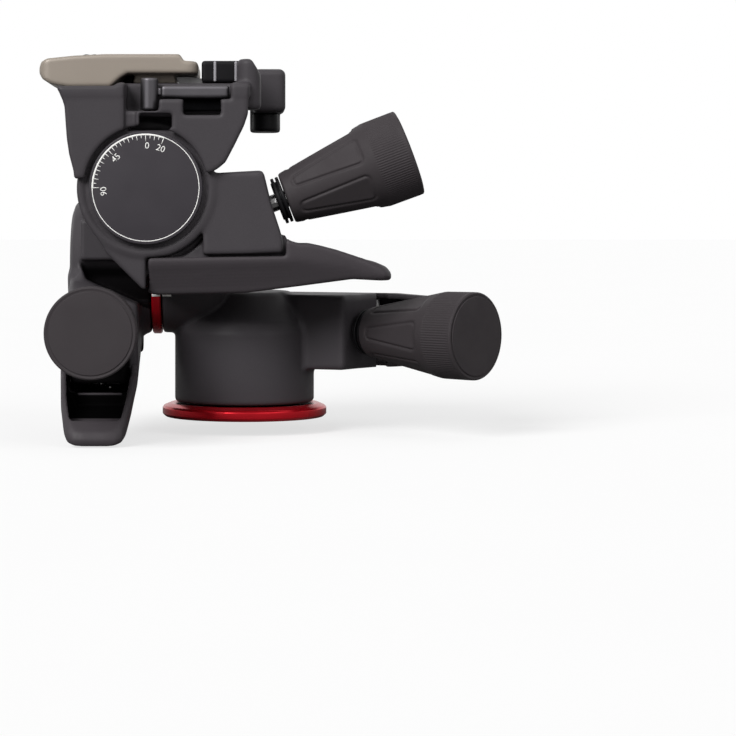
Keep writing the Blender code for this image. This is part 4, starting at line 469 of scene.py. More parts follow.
FINISHES = {
    # Fine powder coat on die-cast aluminium: near black, satin, its grain a third of a millimetre; the recess behind
    # the side knob and the foot of the side nose are painted near black as painted shade
    "charcoal powder coat": dict(colour="casting", roughness=0.50, specular=0.15, grain=0.34, bump=0.014, paints_shade=True),
    # Glass-filled nylon from a spark-eroded mould, browner and rougher than the paint; its trough is painted near
    # black as painted shade
    "spark-eroded nylon": dict(colour="wing", roughness=0.54, specular=0.15, grain=0.26, bump=0.012, paints_shade=True),
    # Moulded thermoplastic rubber: warm dark grey, matt, with a soft bloom
    "moulded grip rubber": dict(colour="grip", roughness=0.64, specular=0.16, grain=0.22, bump=0.010, mottle=0.10),
    # Turned acetal: black with a soft gloss
    "black acetal": dict(colour="121113", roughness=0.48, specular=0.09, grain=0.2, bump=0.004, mottle=0.08),
    # Turned aluminium, anodised red: a deep metal red whose marks, drawn coarser than they are, run round the base
    "red anodised aluminium": dict(colour="ring", roughness=0.26, metallic=0.7, grain=0.25, bump=0.004, mottle=0.14,
                                   spread=0.05, streaks=(0.05, 0.05, 1.0)),
    # The same finish, its turning marks running round the axis of the side tilt
    "red anodised side ring": dict(colour="ring", roughness=0.24, metallic=0.5, grain=0.25, bump=0.004, mottle=0.14,
                                   spread=0.05, streaks=(1.0, 0.05, 0.05)),
    # Die-cast plate with a warm grey satin paint
    "warm grey alloy": dict(colour="plate", roughness=0.46, metallic=0.15, specular=0.4, bump=0.010, mottle=0.07),
    # Thin moulded rubber on the plate, black and matt
    "ribbed plate rubber": dict(colour="1C1B1C", roughness=0.75, specular=0.3),
    # Near-black sheet at the back of the catch's tray: painted shade where the tray lies in shadow
    "black flocking": dict(colour="050506", roughness=0.9, specular=0.05, grain=0.2),
    # Pale grey clips that hold the vial, semi-gloss
    "pale moulding": dict(colour="8A888C", roughness=0.4, specular=0.3, grain=0.2, bump=0.004, mottle=0.06),
    # Smooth moulded disc, satin black
    "dial plastic": dict(colour="343135", roughness=0.38, specular=0.18, grain=0.2, bump=0.004, mottle=0.06),
    # Pad-printed ink, matt and slightly uneven
    "white print": dict(colour="E4E3E0", roughness=0.6, specular=0.3, grain=0.15, bump=0.004, mottle=0.05),
    # Satin chrome on the catch, toned dark: grey and soft
    "dark satin chrome": dict(colour="4E4C4F", roughness=0.44, metallic=1.0, bump=0.003, mottle=0.08),
    # Turned steel with a thin oil film: fine rings show as a brushed sheen
    "turned steel": dict(colour="8D8C8C", roughness=0.32, metallic=1.0, grain=0.25, bump=0.004, mottle=0.10),
    # Hobbed brass: yellow metal with cutter marks
    "gear brass": dict(colour="C79A4B", roughness=0.30, metallic=1.0, bump=0.004, mottle=0.10),
    # Oil-filled sintered bronze: brown, porous and matt
    "sintered bronze": dict(colour="8A5E37", roughness=0.48, metallic=1.0, grain=0.18, mottle=0.22),
    # Drawn music wire: darker and smoother than the turned steel
    "spring wire": dict(colour="6E6D6C", roughness=0.28, metallic=1.0, grain=0.2, bump=0.002, mottle=0.06),
    # Tinted spirit behind clear plastic: yellow green and glossy
    "level liquid": dict(colour="B9C53A", roughness=0.08, specular=0.6, grain=3.0, bump=0.0, mottle=0.10, spread=0.02),
}


def finish(name):
    """The material of one of the head's finishes, made when it is first asked for."""
    if name in bpy.data.materials:
        return bpy.data.materials[name]
    look = dict(FINISHES[name])
    colours, colour = bpy.context.scene.tripod_head_colours, look.pop("colour")
    return surface(name, getattr(colours, colour) if hasattr(colours, colour) else linear(colour), **look)


# Shapes of the castings

def nose_field(u, v, w):
    """A drive unit's nose: its side outline cut to the width, its edges rounder towards the end, with a skirt below
    it that the wing lever closes over and the block that stops it."""
    edge = np.clip(0.5 + (u - 24.0) * 0.09, 0.5, 1.6)
    nose = both(polygon(u, v, NOSE_OUTLINE, 0.6), np.abs(w) - HALF_WIDTH, edge=edge)
    skirt = both(polygon(u, v, ((-12.3, 0.0), (35.9, 14.0), (35.9, 20.2), (26.0, 18.4), (-12.3, 7.6))),
                 np.abs(w) - 10.4, edge=0.4)
    stop = both(both(slab(u, 34.0, 39.4), slab(v, 11.6, 20.0)), np.abs(w) - 9.4, edge=0.5)
    return either(nose, skirt, stop)


def fitted(shape, u, v, w):
    """A housing with the lugs that hold its wing lever: a bar about the pivot with a web up to the nose. The room
    for the worm's carrier, its shaft and the lever's pin is cut out."""
    bar = round_bar(u, v, w, PIVOT, 3.6, -10.4, 10.4)
    web = both(slab(u, 26.6, 33.4), slab(v, 0.0, 19.5), np.abs(w) - 10.2)
    channel = both(slab(u, -11.3, 37.3), slab(v, -5.1, 39.6), np.abs(w) - 7.0)
    shaft = round_bar(v, w, u, (1.15, 0.0), 4.45, 30.0, 50.0)
    return carve(either(shape, bar, web), either(channel, shaft, rod(u, v, PIVOT, 1.8)), edge=0.3)


def wing_sides(u, v, w):
    """Distances to a wing's plan and to its flanks, which lean inwards from the ridge."""
    ridge = v - (4.6 + (u + 8.0) * 0.345)
    return polygon(u, np.abs(w), WING_PLAN), (np.abs(w) - HALF_WIDTH + 0.40 * ridge) / 1.08


def trough_field(u, v, w):
    """The room of a wing's thumb trough: its side outline between walls that follow the wing's plan and flanks."""
    plan, flank = wing_sides(u, v, w)
    return both(polygon(u, v, WING_TROUGH, 0.5), np.maximum(plan + 2.2, flank + 1.6), edge=0.8)


def trough_painted_shade(u, v, w):
    """One where a wing's surface is painted near black as painted shade in its trough, nought elsewhere: the lip stays
    bare.
    """
    lip = (u < 39.4) & (v > 22.7) & (v < 24.2) & (np.abs(w) < 7.6)
    return (trough_field(u, v, w) < 0.3) & (v < 31.2) & ~lip


def wing_field(u, v, w):
    """A wing lever: its side outline cut by its plan and its flanks, then hollowed from below."""
    plan, flank = wing_sides(u, v, w)
    solid = both(polygon(u, v, WING_OUTLINE, 0.8), plan, edge=np.clip((u - 46.0) * 0.12, 0.4, 2.2))
    solid = both(solid, flank, edge=np.clip((u - 30.0) * 0.05, 0.25, 0.9))
    inner = np.maximum(np.abs(w) - 11.3, flank + 1.15)
    solid = carve(solid, both(polygon(u, v, WING_HOLLOW), inner), trough_field(u, v, w), edge=0.35)
    rib = both(slab(u, 3.5, 12.5), slab(v, 13.3, 15.0), inner - 0.5)
    solid = either(solid, carve(rib, rod(u, w, (8.0, 0.0), 2.3)))
    return carve(solid, both(rod(u, v, PIVOT, 1.65), np.abs(w) - 11.0))


class TripodHeadSizes(PropertyGroup):
    """Sizes that a user may change."""

    casting_cell: FloatProperty(
        name="Casting grid", description="Spacing of the grid that castings are made on, in mm",
        default=0.6, min=0.3, max=2.0,
    )
    edge_softening: IntProperty(
        name="Edge softening", description="How often a casting's field is averaged", default=1, min=0, max=4,
    )
    knob_ridges: IntProperty(
        name="Knob ridges", description="Fine ridges round a knob's band", default=108, min=12, max=200,
    )
    knob_panels: IntProperty(
        name="Knob panels", description="Sunk panels round a knob's taper", default=6, min=3, max=10,
    )
    print_width: FloatProperty(
        name="Print width", description="Width of the dial's fine lines, in mm", default=0.28, min=0.1, max=1.0,
    )


colour_property = partial(FloatVectorProperty, subtype="COLOR", size=3, min=0, max=1)


class TripodHeadColours(PropertyGroup):
    """Colours that a user may change."""

    casting: colour_property(name="Castings", description="Powder coat on the castings", default=linear("393639"))
    wing: colour_property(name="Wing levers", description="Nylon of the wing levers", default=linear("383437"))
    grip: colour_property(name="Knobs", description="Rubber of the knobs", default=linear("322E30"))
    ring: colour_property(name="Red rings", description="Anodised rings", default=linear("B80C1C"))
    plate: colour_property(name="Camera plate", description="Paint of the camera plate", default=linear("857C72"))


class TRIPODHEAD_OT_stage(Operator):
    """Floor, soft lamps, pale surroundings and the photograph's camera"""

    bl_idname = "tripodhead.stage"
    bl_label = "Stage"

    def execute(self, context):
        scene = context.scene
        scene.view_settings.view_transform = "Standard"
        world = bpy.data.worlds.new("pale studio")
        world.use_nodes = True
        scene.world = world
        tree = world.node_tree
        background = tree.nodes["Background"]
        background.inputs["Color"].default_value = (1, 1, 1, 1)
        # Bright to the camera and in reflections, dim as a light, so that the lamps model the shapes
        rays = add_node(tree, "ShaderNodeLightPath").outputs
        seen = rays["Is Camera Ray"]
        for other in ("Is Glossy Ray", "Is Transmission Ray"):
            seen = add_node(tree, "ShaderNodeMath", links={0: seen, 1: rays[other]}, operation="MAXIMUM").outputs[0]
        strength = add_node(tree, "ShaderNodeMapRange", {3: 0.14, 4: 1.0}, {0: seen})
        tree.links.new(strength.outputs[0], background.inputs["Strength"])

        floor_material = bpy.data.materials.new("pale floor")
        floor_material.use_nodes = True
        tree = floor_material.node_tree
        tree.nodes.clear()
        place = add_node(tree, "ShaderNodeTexCoord").outputs["Object"]
        noise = add_node(tree, "ShaderNodeTexNoise", {"Scale": 8.0}, {"Vector": place})
        tint = add_node(tree, "ShaderNodeMix", {6: linear("F2F2F2") + (1,), 7: linear("F6F6F6") + (1,)},
                        {0: noise.outputs["Fac"]}, data_type="RGBA")
        paper = add_node(tree, "ShaderNodeBsdfDiffuse", links={"Color": tint.outputs[2]})
        rays = add_node(tree, "ShaderNodeLightPath").outputs
        glow = add_node(tree, "ShaderNodeEmission", {"Color": (1, 1, 1, 1)}, {"Strength": rays["Is Camera Ray"]})
        blend = add_node(tree, "ShaderNodeMixShader", {0: 0.70}, {1: paper.outputs[0], 2: glow.outputs[0]})
        add_node(tree, "ShaderNodeOutputMaterial", links={"Surface": blend.outputs[0]})
        reach, height = 6000.0, -5.4
        corners = ((-reach, -reach, height), (reach, -reach, height), (reach, reach, height), (-reach, reach, height))
        floor = mesh_object("studio_floor", corners, [(0, 1, 2, 3)], floor_material)

        for name, turn, strength, spread in (
            ("key", (59, 0, -34), 3.7, 30), ("fill", (58, 0, 40), 0.9, 40), ("top", (8, 0, -20), 0.4, 60),
        ):
            lamp = bpy.data.lights.new(name, "SUN")
            lamp.energy = strength
            lamp.angle = math.radians(spread)
            holder = bpy.data.objects.new(name, lamp)
            holder.rotation_euler = [math.radians(value) for value in turn]
            scene.collection.objects.link(holder)

        camera = bpy.data.cameras.new("photograph")
        camera.sensor_width = 36
        camera.lens = 119.95
        # The photograph is a crop from the upper left of a wider picture
        camera.shift_x = 0.1678
        camera.shift_y = -0.2133
        holder = bpy.data.objects.new("photograph", camera)
        holder.location = (0, -0.900, 0.075)
        holder.rotation_euler = (math.pi / 2, 0, 0)
        scene.collection.objects.link(holder)
        scene.camera = holder
        return {"FINISHED"}


class TRIPODHEAD_OT_base(Operator):
    """Red base ring"""

    bl_idname = "tripodhead.base"
    bl_label = "Base"

    def execute(self, context):
        turned_piece(
            "base_ring_dressed",
            ((0.3, 24.8), (0.0, 25.4, 0.2), (0.0, 28.9, 0.6), (1.0, 30.0, 0.5), (3.3, 30.0, 0.4), (4.0, 29.4, 0.4),
             (4.9, 27.2, 0.5), (4.9, 25.2, 0.3), (4.4, 24.8, 0.2)),
            192, partial(about, origin=(0, 0, 0), direction=(0, 0, 1)), "base", "red anodised aluminium",
            "red_anodised", "base_ring", closed=True,
        )
        return {"FINISHED"}


class TRIPODHEAD_OT_pan_housing(Operator):
    """Turning housing: cylinder, sloping shoulder, side barrel and drive nose in one casting"""

    bl_idname = "tripodhead.pan_housing"
    bl_label = "Pan housing"

    def execute(self, context):
        grid = grid_of((-33.4, -26, 5), (46.5, 35, 79.6))
        x, y, z = grid
        unit = unit_grid(grid, "pan")
        flat = np.hypot(x, y)
        radius = np.hypot(y, z - ROLL_Z)
        body = polygon(flat, z, (
            (-9, 5.4), (25.45, 5.4), (25.45, 31.0), (24.3, 35.0), (17.2, 44.6), (15.8, 45.6), (-9, 45.6),
        ), 0.9)
        barrel = polygon(x, radius, (
            (-29.7, -9), (-29.7, 24.5), (-12.6, 24.5), (-8.4, 22.4), (-5.0, 17.0), (-4.4, -9),
        ), 0.8)
        spigot = both(radius - 19.7, slab(x, -33.4, -20.0))
        shape = either(body, either(barrel, spigot), fillet=1.0)
        shape = fitted(either(shape, nose_field(*unit), fillet=1.8), *unit)
        shape = carve(shape, both(flat - WHEEL_ROOM, slab(z, 0.0, 35.2)),
                      both(flat - SPINDLE_ROOM, slab(z, 20.0, 37.4)), both(radius - 9.3, slab(x, -40.0, -10.0)))
        casting("pan_casting", shape, grid, "pan", "pan_housing")
        return {"FINISHED"}


class TRIPODHEAD_OT_side_housing(Operator):
    """Housing that tilts to the side, with the red ring and the index marks beside it"""

    bl_idname = "tripodhead.side_housing"
    bl_label = "Side housing"

    def execute(self, context):
        grid = grid_of((-75, -43, 13), (-33.6, 26, 79.6))
        x, y, z = grid
        unit = unit_grid(grid, "roll")
        radius = np.hypot(y, z - ROLL_Z)
        barrel = polygon(x, radius, (
            (-62.8, -9), (-62.8, 19.0), (-61.6, 22.6), (-58.8, 24.5), (-33.8, 24.5), (-33.8, -9),
        ), 0.8)
        pad = box(grid, (-58.5, -26.2, 48.0), (-34.4, -14.2, 72.0), 0.6)
        left_side = -62.2 - 2.3 * np.clip((38.0 - z) / 5.0, 0, 1)
        shape = either(either(barrel, pad), both(nose_field(*unit), left_side - x, edge=1.2), fillet=3.6)
        notch = polygon(x, z, (
            (-59.2, 57.4), (-56.2, 50.4), (-50.0, 47.6), (-38.0, 42.4), (-30.0, 42.4), (-30.0, 52.0), (-45.0, 57.4),
        ), 0.5)
        # The notch's floor slopes at 45 degrees down to the ring, so that no lamp lights it squarely
        floor = np.minimum(33.0 - z, -np.sqrt(np.maximum(18.9**2 - (z - ROLL_Z) ** 2, 0)))
        shape = carve(shape, both(notch, (y - floor) * 0.8), edge=0.6)
        shape = carve(fitted(shape, *unit), both(radius - WHEEL_ROOM, slab(x, -54.9, -20.0)),
                      both(radius - SPINDLE_ROOM, slab(x, -57.1, -20.0)))
        piece = casting("side_casting", shape, grid, "roll", "roll_housing")
        # Painted shade: the recess behind the side knob is painted near black, darker towards its floor, and the foot
        # of the nose darker downwards
        x, y, z = mesh_points(piece.data).T / MM
        recess = polygon(x, z, ((-60.0, 58.0), (-56.4, 49.6), (-30.0, 38.0), (-30.0, 58.0))) < 0
        recess &= (y < -12) & (y > -23.6)
        mouth = (z < 27.0) & (y < -30.0) & (np.abs(x + 51.0) < 10.6)
        set_painted_shade(piece, np.maximum(recess * np.clip((57.4 - z) / 4.0, 0, 0.9),
                                     mouth * np.clip((27.0 - z) / 1.5, 0, 0.95)))
        for name, start, end, radius in (("housing", -29.4, -26.2, 24.52), ("ring", -33.2, -30.2, 24.92)):
            angle = np.arcsin(np.linspace(-10.6, -9.7, 4) / radius)[:, None]
            line = np.broadcast_arrays([[start, end]], -radius * np.cos(angle), ROLL_Z + radius * np.sin(angle))
            printed("index_mark_" + name, np.stack(line, axis=2).reshape(-1, 3), sheet_faces(4, 2), 0.05, "pan",
                    "charcoal_casting")
        turned_piece(
            "side_ring_dressed",
            ((-33.4, 20.0), (-33.4, 24.4, 0.3), (-32.9, 24.9, 0.2), (-30.5, 24.9, 0.2), (-30.0, 24.4, 0.3),
             (-30.0, 20.0)),
            160, partial(about, origin=(0, 0, ROLL_Z), direction=(1, 0, 0)), "pan", "red anodised side ring",
            "red_anodised", "roll_ring", closed=True,
        )
        return {"FINISHED"}


class TRIPODHEAD_OT_front_housing(Operator):
    """Front drive housing with the round boss behind the dial"""

    bl_idname = "tripodhead.front_housing"
    bl_label = "Front housing"

    def execute(self, context):
        grid = grid_of((-58.5, -54.2, 43), (17.5, -26.2, 107.6))
        x, y, z = grid
        unit = unit_grid(grid, "tilt")
        radius = np.hypot(x - TILT_X, z - TILT_Z)
        boss = both(radius - 24.0, slab(y, -53.9, -26.9), edge=1.0)
        shape = either(boss, nose_field(*unit), fillet=1.2)
        pocket = both(polygon(x, z, ((-36.0, 59.5), (-14.3, 59.5), (-14.3, 72.5)), 0.5), 24.6 - radius, edge=0.5)
        shape = carve(shape, both(pocket, slab(y, -60.0, -50.2)), edge=0.4)
        shape = carve(shape, both(pocket, radius - 26.6, slab(y, -60.0, -47.9)),
                      both(np.abs(radius - 20.9) - 0.45, slab(y, -60.0, -53.2)))
        shape = carve(shape, box(grid, (-40.0, -60.0, 102.9), (-23.5, -44.0, 110.0)), edge=0.4)
        relief = box(grid, (-51.0, -29.3, 44.4), (-37.2, -26.2, 51.6))
        shape = carve(fitted(shape, *unit), both(radius - WHEEL_ROOM, slab(y, -60.0, -36.1)),
                      both(radius - 9.95, slab(y, -40.0, -20.0)), relief)
        casting("front_casting", shape, grid, "roll", "tilt_housing")
        return {"FINISHED"}


def dial_place(x, y):
    """Places on the dial's face, x to the right and y up from its centre, as world points."""
    return np.stack([x + TILT_X, 0 * x - 56.82, y + TILT_Z], axis=-1).reshape(-1, 3)


class TRIPODHEAD_OT_dial(Operator):
    """Dial disc with its ring line, graduations and plain numbers"""

    bl_idname = "tripodhead.dial"
    bl_label = "Dial"

    def execute(self, context):
        turned_piece(
            "dial_disc",
            ((-56.8, 0.0), (-56.8, 19.5, 0.35), (-54.2, 19.7, 0.2), (-54.2, 15.0), (-50.2, 15.0, 0.3), (-50.2, 0.0)),
            160, partial(about, origin=(TILT_X, 0, TILT_Z), direction=(0, 1, 0)), "roll", "dial plastic", "dial_face",
            "tilt_dial",
        )
        # Each flat band: its radii, its first and last angle clockwise from the top, and its points along each edge
        width = context.scene.tripod_head_sizes.print_width
        bands = [(18.25, 18.25 + width, 21, 269, 125), (18.0, 18.6, -91, 21, 90)]
        half = math.degrees(width * 0.42 / 17.5)
        for value in range(-90, 21, 5):
            length = 2.0 if value % 45 == 0 or value == 20 else 1.5 if value % 10 == 0 else 1.0
            bands.append((18.0 - length, 18.0, value - half, value + half, 2))
        points, faces, start = [], [], 0
        for inner, outer, first, last, steps in bands:
            angle = np.radians(np.linspace(first, last, steps))
            radius = np.array([[inner], [outer]])
            points.append(dial_place(radius * np.sin(angle), radius * np.cos(angle)))
            faces.append(sheet_faces(2, steps) + start)
            start += 2 * steps
        printed("dial_lines", np.concatenate(points), np.concatenate(faces), 0.04, "roll", "dial_face")

        for number, angle in (("0", 2), ("20", 21), ("45", -45), ("90", -95)):
            curve = bpy.data.curves.new("number_" + number, "FONT")
            curve.body = number
            curve.size = 3.1
            curve.align_x = curve.align_y = "CENTER"
            letter = bpy.data.objects.new("number_" + number, curve)
            context.scene.collection.objects.link(letter)
            context.view_layer.update()
            mesh = letter.evaluated_get(context.evaluated_depsgraph_get()).to_mesh()
            mesh.calc_loop_triangles()
            x, y, _ = mesh_points(mesh).astype(float).T
            triangles = np.empty(len(mesh.loop_triangles) * 3, np.int32)
            mesh.loop_triangles.foreach_get("vertices", triangles)
            bpy.data.objects.remove(letter, do_unlink=True)
            c, s = math.cos(math.radians(angle)), math.sin(math.radians(angle))
            places = dial_place(x * c + (y + 14.4) * s, (y + 14.4) * c - x * s)
            printed("dial_number_" + number, places, triangles.reshape(-1, 3), 0.04, "roll", "dial_face")
        return {"FINISHED"}


class TRIPODHEAD_OT_platform(Operator):
    """Platform that tilts forwards: deck, near wall round the dial, arm and catch tray in one casting"""

    bl_idname = "tripodhead.platform"
    bl_label = "Platform"

    def execute(self, context):
        grid = grid_of((-65.5, -57.4, 73.4), (13.2, 14.0, 127.9), 0.95)
        x, y, z = grid
        left = [(-44.4, 118.4), (-44.4, 117.7), (-64.5, 117.7), (-63.5, 116.0), (-62.0, 111.0), (-61.2, 100.0),
                (-60.4, 94.6), (-58.9, 88.9), (-58.6, 86.1)]
        right = [(-11.6, 88.2), (-9.1, 89.6), (-6.5, 91.8), (-3.6, 97.3), (-0.2, 104.2), (1.2, 108.3), (1.6, 118.4)]
        # Between its two sides the wall's lower edge bends round the dial
        dial_room = 21.3
        first = math.pi - math.asin((left[-1][1] - TILT_Z) / dial_room)
        last = math.asin((right[0][1] - TILT_Z) / dial_room)
        bend = [(TILT_X + dial_room * math.cos(a), TILT_Z + dial_room * math.sin(a))
                for a in np.linspace(first, last, 29)]
        wall = both(polygon(x, z, left + bend + right), slab(y, -57.3, -54.3), edge=0.7)
        plan = polygon(x, y, ((-65.2, -56.9), (2.0, -56.9), (2.0, 14.0), (-65.2, 14.0)), 2.0)
        side = polygon(x, z, (
            (-64.7, 117.8), (-63.7, 116.4), (-62.6, 114.5), (2.0, 114.5), (2.0, 119.5), (-43.6, 119.5), (-44.6, 117.8),
        ))
        deck = both(both(plan, side, edge=0.6), (z - 119.5 - 0.33 * (y + 54.0)) / 1.05, edge=0.5)
        post = round_bar(x, y, z, (1.6, -49.0), 4.2, 110.0, 127.7, 1.6)
        post = both(post, 0.846 * (x - 2.3) + 0.534 * (z - 127.7), edge=0.6)
        deck = either(deck, either(post, box(grid, (-0.5, -53.1, 110.8), (2.0, -45.0, 117.0))), fillet=0.8)
        tray = either(box(grid, (-41.8, -55.8, 107.7), (-4.2, -45.0, 117.0), 0.5),
                      box(grid, (-23.5, -55.8, 106.3), (-4.2, -45.0, 110.0), 0.5))
        hub = round_bar(x, z, y, (TILT_X, TILT_Z), 9.5, -26.1, -18.5, 0.6)
        web = box(grid, (-43.1, -25.7, 83.0), (-24.9, -18.9, 116.0), 0.6)
        jaw = both(polygon(x, z, ((-43.8, 118.0), (-39.4, 118.0), (-38.6, 122.7), (-42.6, 122.7))),
                   slab(y, -27.0, -1.0), edge=0.3)
        tongue = both(either(box(grid, (0.0, -11.5, 100.0), (7.5, -0.5, 130.0)), rod(x, y, CLAMP_BOLT, 5.5)),
                      slab(z, 114.8, 119.2), edge=0.5)
        shape = either(either(deck, wall, fillet=1.2), tray)
        shape = either(either(shape, either(hub, web), fillet=3.0), jaw, tongue)
        shape = carve(shape, box(grid, (-41.3, -60.0, 96.0), (-37.4, -55.6, 130.0)), edge=0.4)
        pocket = either(
            box(grid, (-40.0, -54.2, 109.5), (-5.4, -46.8, 130.0)),
            box(grid, (-40.9, -70.0, 113.5), (-4.6, -46.8, 130.0)),
            box(grid, (-40.9, -70.0, 109.5), (-29.5, -46.8, 130.0)),
            box(grid, (-21.1, -70.0, 108.0), (-8.1, -46.8, 113.2), 0.3),
        )
        window = box(grid, (-36.2, -70.0, 103.4), (-25.0, -54.0, 108.6), 0.3)
        shape = carve(carve(shape, pocket, edge=0.4), window, edge=0.3)
        shape = carve(shape, rod(x, z, (TILT_X, TILT_Z), 6.3) + np.maximum(-45.0 - y, 0), rod(x, y, CLAMP_BOLT, 2.8),
                      round_bar(x, y, z, CATCH_PIN, 1.4, 105.0, 112.0))
        casting("platform_casting", shape, grid, "tilt", "tilt_platform")
        # Painted shade: a near-black sheet at the back of the catch's tray, where the tray lies in shadow
        grid = grid_of((-22.4, -50.2, 109.6), (-6.6, -47.6, 114.2), cell=0.35)
        shade_sheet = box(grid, (-22.4, -50.2, 109.7), (-6.6, -47.6, 114.2), 0.5)
        casting("tray_buffer", shade_sheet, grid, "tilt", None, "black flocking", "black_plastic", 0)
        return {"FINISHED"}


class TRIPODHEAD_OT_camera_plate(Operator):
    """Quick-release plate on its dovetail, with its rubber pad"""

    bl_idname = "tripodhead.camera_plate"
    bl_label = "Camera plate"

    def execute(self, context):
        grid = grid_of((-72.0, -46.5, 118.1), (-16.0, 5.5, 129.9), 0.8)
        x, y, z = grid
        plan = polygon(x, y, ((-72.0, -46.5), (-16.0, -46.5), (-16.0, 5.5), (-72.0, 5.5)), 4.2)
        side = polygon(x, z, (
            (-71.9, 123.2), (-71.9, 124.9), (-71.1, 127.0), (-68.9, 128.2), (-59.0, 129.2), (-48.5, 129.7),
            (-22.6, 129.7), (-21.1, 127.4), (-16.9, 127.2), (-15.9, 126.4), (-15.9, 122.9), (-40.9, 122.9),
            (-43.3, 121.4), (-46.8, 118.3), (-61.4, 118.2), (-67.0, 119.2), (-70.4, 120.9),
        ), 0.35)
        rail = polygon(x, z, (
            (-39.5, 119.8), (-23.5, 119.8), (-24.7, 122.7), (-24.7, 124.0), (-38.3, 124.0), (-38.3, 122.7),
        ))
        shape = either(both(plan, side, edge=0.8), both(rail, slab(y, -40.0, 5.4), edge=0.3))
        seat = polygon(x, y, ((-57.2, -41.2), (-23.8, -41.2), (-23.8, 0.2), (-57.2, 0.2)), 2.5)
        shape = carve(shape, rod(x, y, CAMERA_SCREW, 3.45), round_bar(x, y, z, CAMERA_SCREW, 6.6, 110.0, 122.6),
                      both(seat, 129.25 - z))
        casting("camera_plate_casting", shape, grid, "camera_plate", "camera_plate", "warm grey alloy",
                "warm_grey_alloy")
        grid = grid_of((-57, -41, 129.3), (-24, 0, 130.0), cell=0.33)
        x, y, z = grid
        # Ribs 3 mm apart run along the pad
        pad = both(polygon(x, y, ((-57, -41), (-24, -41), (-24, 0), (-57, 0)), 2.5),
                   slab(z, 129.3, 129.95) + 0.10 * (1 + np.cos(2 * math.pi * x / 3.0)), edge=0.12)
        casting("plate_pad_dressed", carve(pad, rod(x, y, CAMERA_SCREW, 4.6)), grid, "camera_plate", "plate_pad",
                "ribbed plate rubber", "plate_pad", 0)
        return {"FINISHED"}


class TRIPODHEAD_OT_clamp(Operator):
    """Clamp lever, safety catch and bubble level"""

    bl_idname = "tripodhead.clamp"
    bl_label = "Clamp, catch and level"

    def execute(self, context):
        grid = grid_of((2.0, -28.0, 103.5), (14.6, -0.5, 125.6), 0.6)
        x, y, z = grid
        block = both(polygon(x, y, ((2.8, -28.0), (14.6, -28.0), (14.6, -6.0), (2.8, -6.0)), 2.6),
                     slab(z, 110.0, 125.6), edge=2.2)
        hub = round_bar(x, y, z, CLAMP_BOLT, 5.5, 103.5, 124.7, 1.0)
        slot = both(either(box(grid, (-5.0, -12.1, 100.0), (7.5, 0.1, 140.0)), rod(x, y, CLAMP_BOLT, 6.1)),
                    slab(z, 114.2, 119.8))
        shape = carve(carve(either(block, hub), slot, edge=0.3), rod(x, y, CLAMP_BOLT, 2.8))
        casting("clamp_lever_dressed", shape, grid, "clamp_lever", "clamp_lever", passes=1)
        grid = grid_of((2.8, -25.0, 103.5), (12.2, -15.2, 110.4), 0.6)
        stem = round_bar(*grid, (7.5, -20.0), 4.6, 103.5, 110.3, 0.8)
        casting("clamp_lever_stem", stem, grid, "clamp_lever", "clamp_lever", "black acetal", passes=1)

        grid = grid_of((-36.6, -54.6, 107.9), (-5.1, -48.4, 121.1), 0.6)
        x, y, z = grid
        catch = either(
            round_bar(x, y, z, (-32.9, -51.5), 3.1, 109.8, 121.0, 0.6),
            round_bar(x, y, z, CATCH_PIN, 1.1, 108.0, 111.0),
            box(grid, (-33.0, -52.4, 115.0), (-27.0, -50.4, 117.6)),
        )
        catch = either(catch, box(grid, (-28.9, -53.5, 113.9), (-5.2, -49.5, 118.4), 1.1), fillet=0.3)
        casting("safety_catch_dressed", catch, grid, "safety_catch", "safety_catch", "dark satin chrome", "steel", 0)

        corners = (-15.0, -44.0, 119.8), (-1.2, -32.0, 127.5)
        grid = grid_of(*corners, 0.6)
        x, y, z = grid
        tunnel = round_bar(y, z, x, (-38.0, 124.5), 3.3, -14.1, -2.1)
        holder = carve(box(grid, *corners, 1.0), tunnel)
        holder = carve(holder, box(grid, (-12.6, -39.8, 124.5), (-3.6, -36.2, 130.0)), edge=0.3)
        for name, left in (("left", -10.8), ("right", -3.5)):
            corners = (left, -44.5, 120.2), (left + 1.0, -43.7, 127.2)
            ribs = grid_of(*corners, cell=0.2)
            casting("level_rib_" + name, box(ribs, *corners, 0.3), ribs, "tilt", None, "pale moulding",
                    "black_plastic", 0)
        casting("level_holder_dressed", holder, grid, "tilt", "level_holder", "black acetal", "black_plastic", 1)
        return {"FINISHED"}


def pin_place(points, label):
    """Points turned about the t axis, laid across a drive unit through its pivot, as world points."""
    return in_unit(points[:, [1, 2, 0]] + (*PIVOT, 0.0), label)


class TRIPODHEAD_OT_wing_levers(Operator):
    """Three wing levers that free the worms, one shape in three places, with their pivot pins"""

    bl_idname = "tripodhead.wing_levers"
    bl_label = "Wing levers"

    def execute(self, context):
        grid = grid_of((-13, 0, -13.6), (70.4, 40, 13.6), 0.85)
        shape = wing_field(*grid)
        # The pan wing's upper corner keeps clear of the round housing that it turns with. The other two share one
        # field, which is averaged for the side wing and once more for the front wing.
        shapes = {"pan": carve(shape, rod(grid[0], grid[1], (0.0, -GEAR_CENTRES), 26.1), edge=0.3)}
        for label in UNITS:
            field = softened(shapes.get(label, shape), context.scene.tripod_head_sizes.edge_softening)
            points, faces = zero_surface(field, grid)
            wing = piece_of(label + "_wing", in_unit(points, label), faces, label + "_lever", "spark-eroded nylon",
                            "wing_plastic", label + "_lever")
            # Painted shade: the thumb trough, which the knob shades, is painted near black
            set_painted_shade(wing, trough_painted_shade(*points.T))
            turned_piece(
                label + "_pivot_pin", ((-11.1, 0.0), (-11.1, 1.5, 0.3), (11.1, 1.5, 0.3), (11.1, 0.0)), 32,
                partial(pin_place, label=label), UNIT_HOUSINGS[label], "turned steel", "steel", label + "_lever_pin",
            )
        return {"FINISHED"}


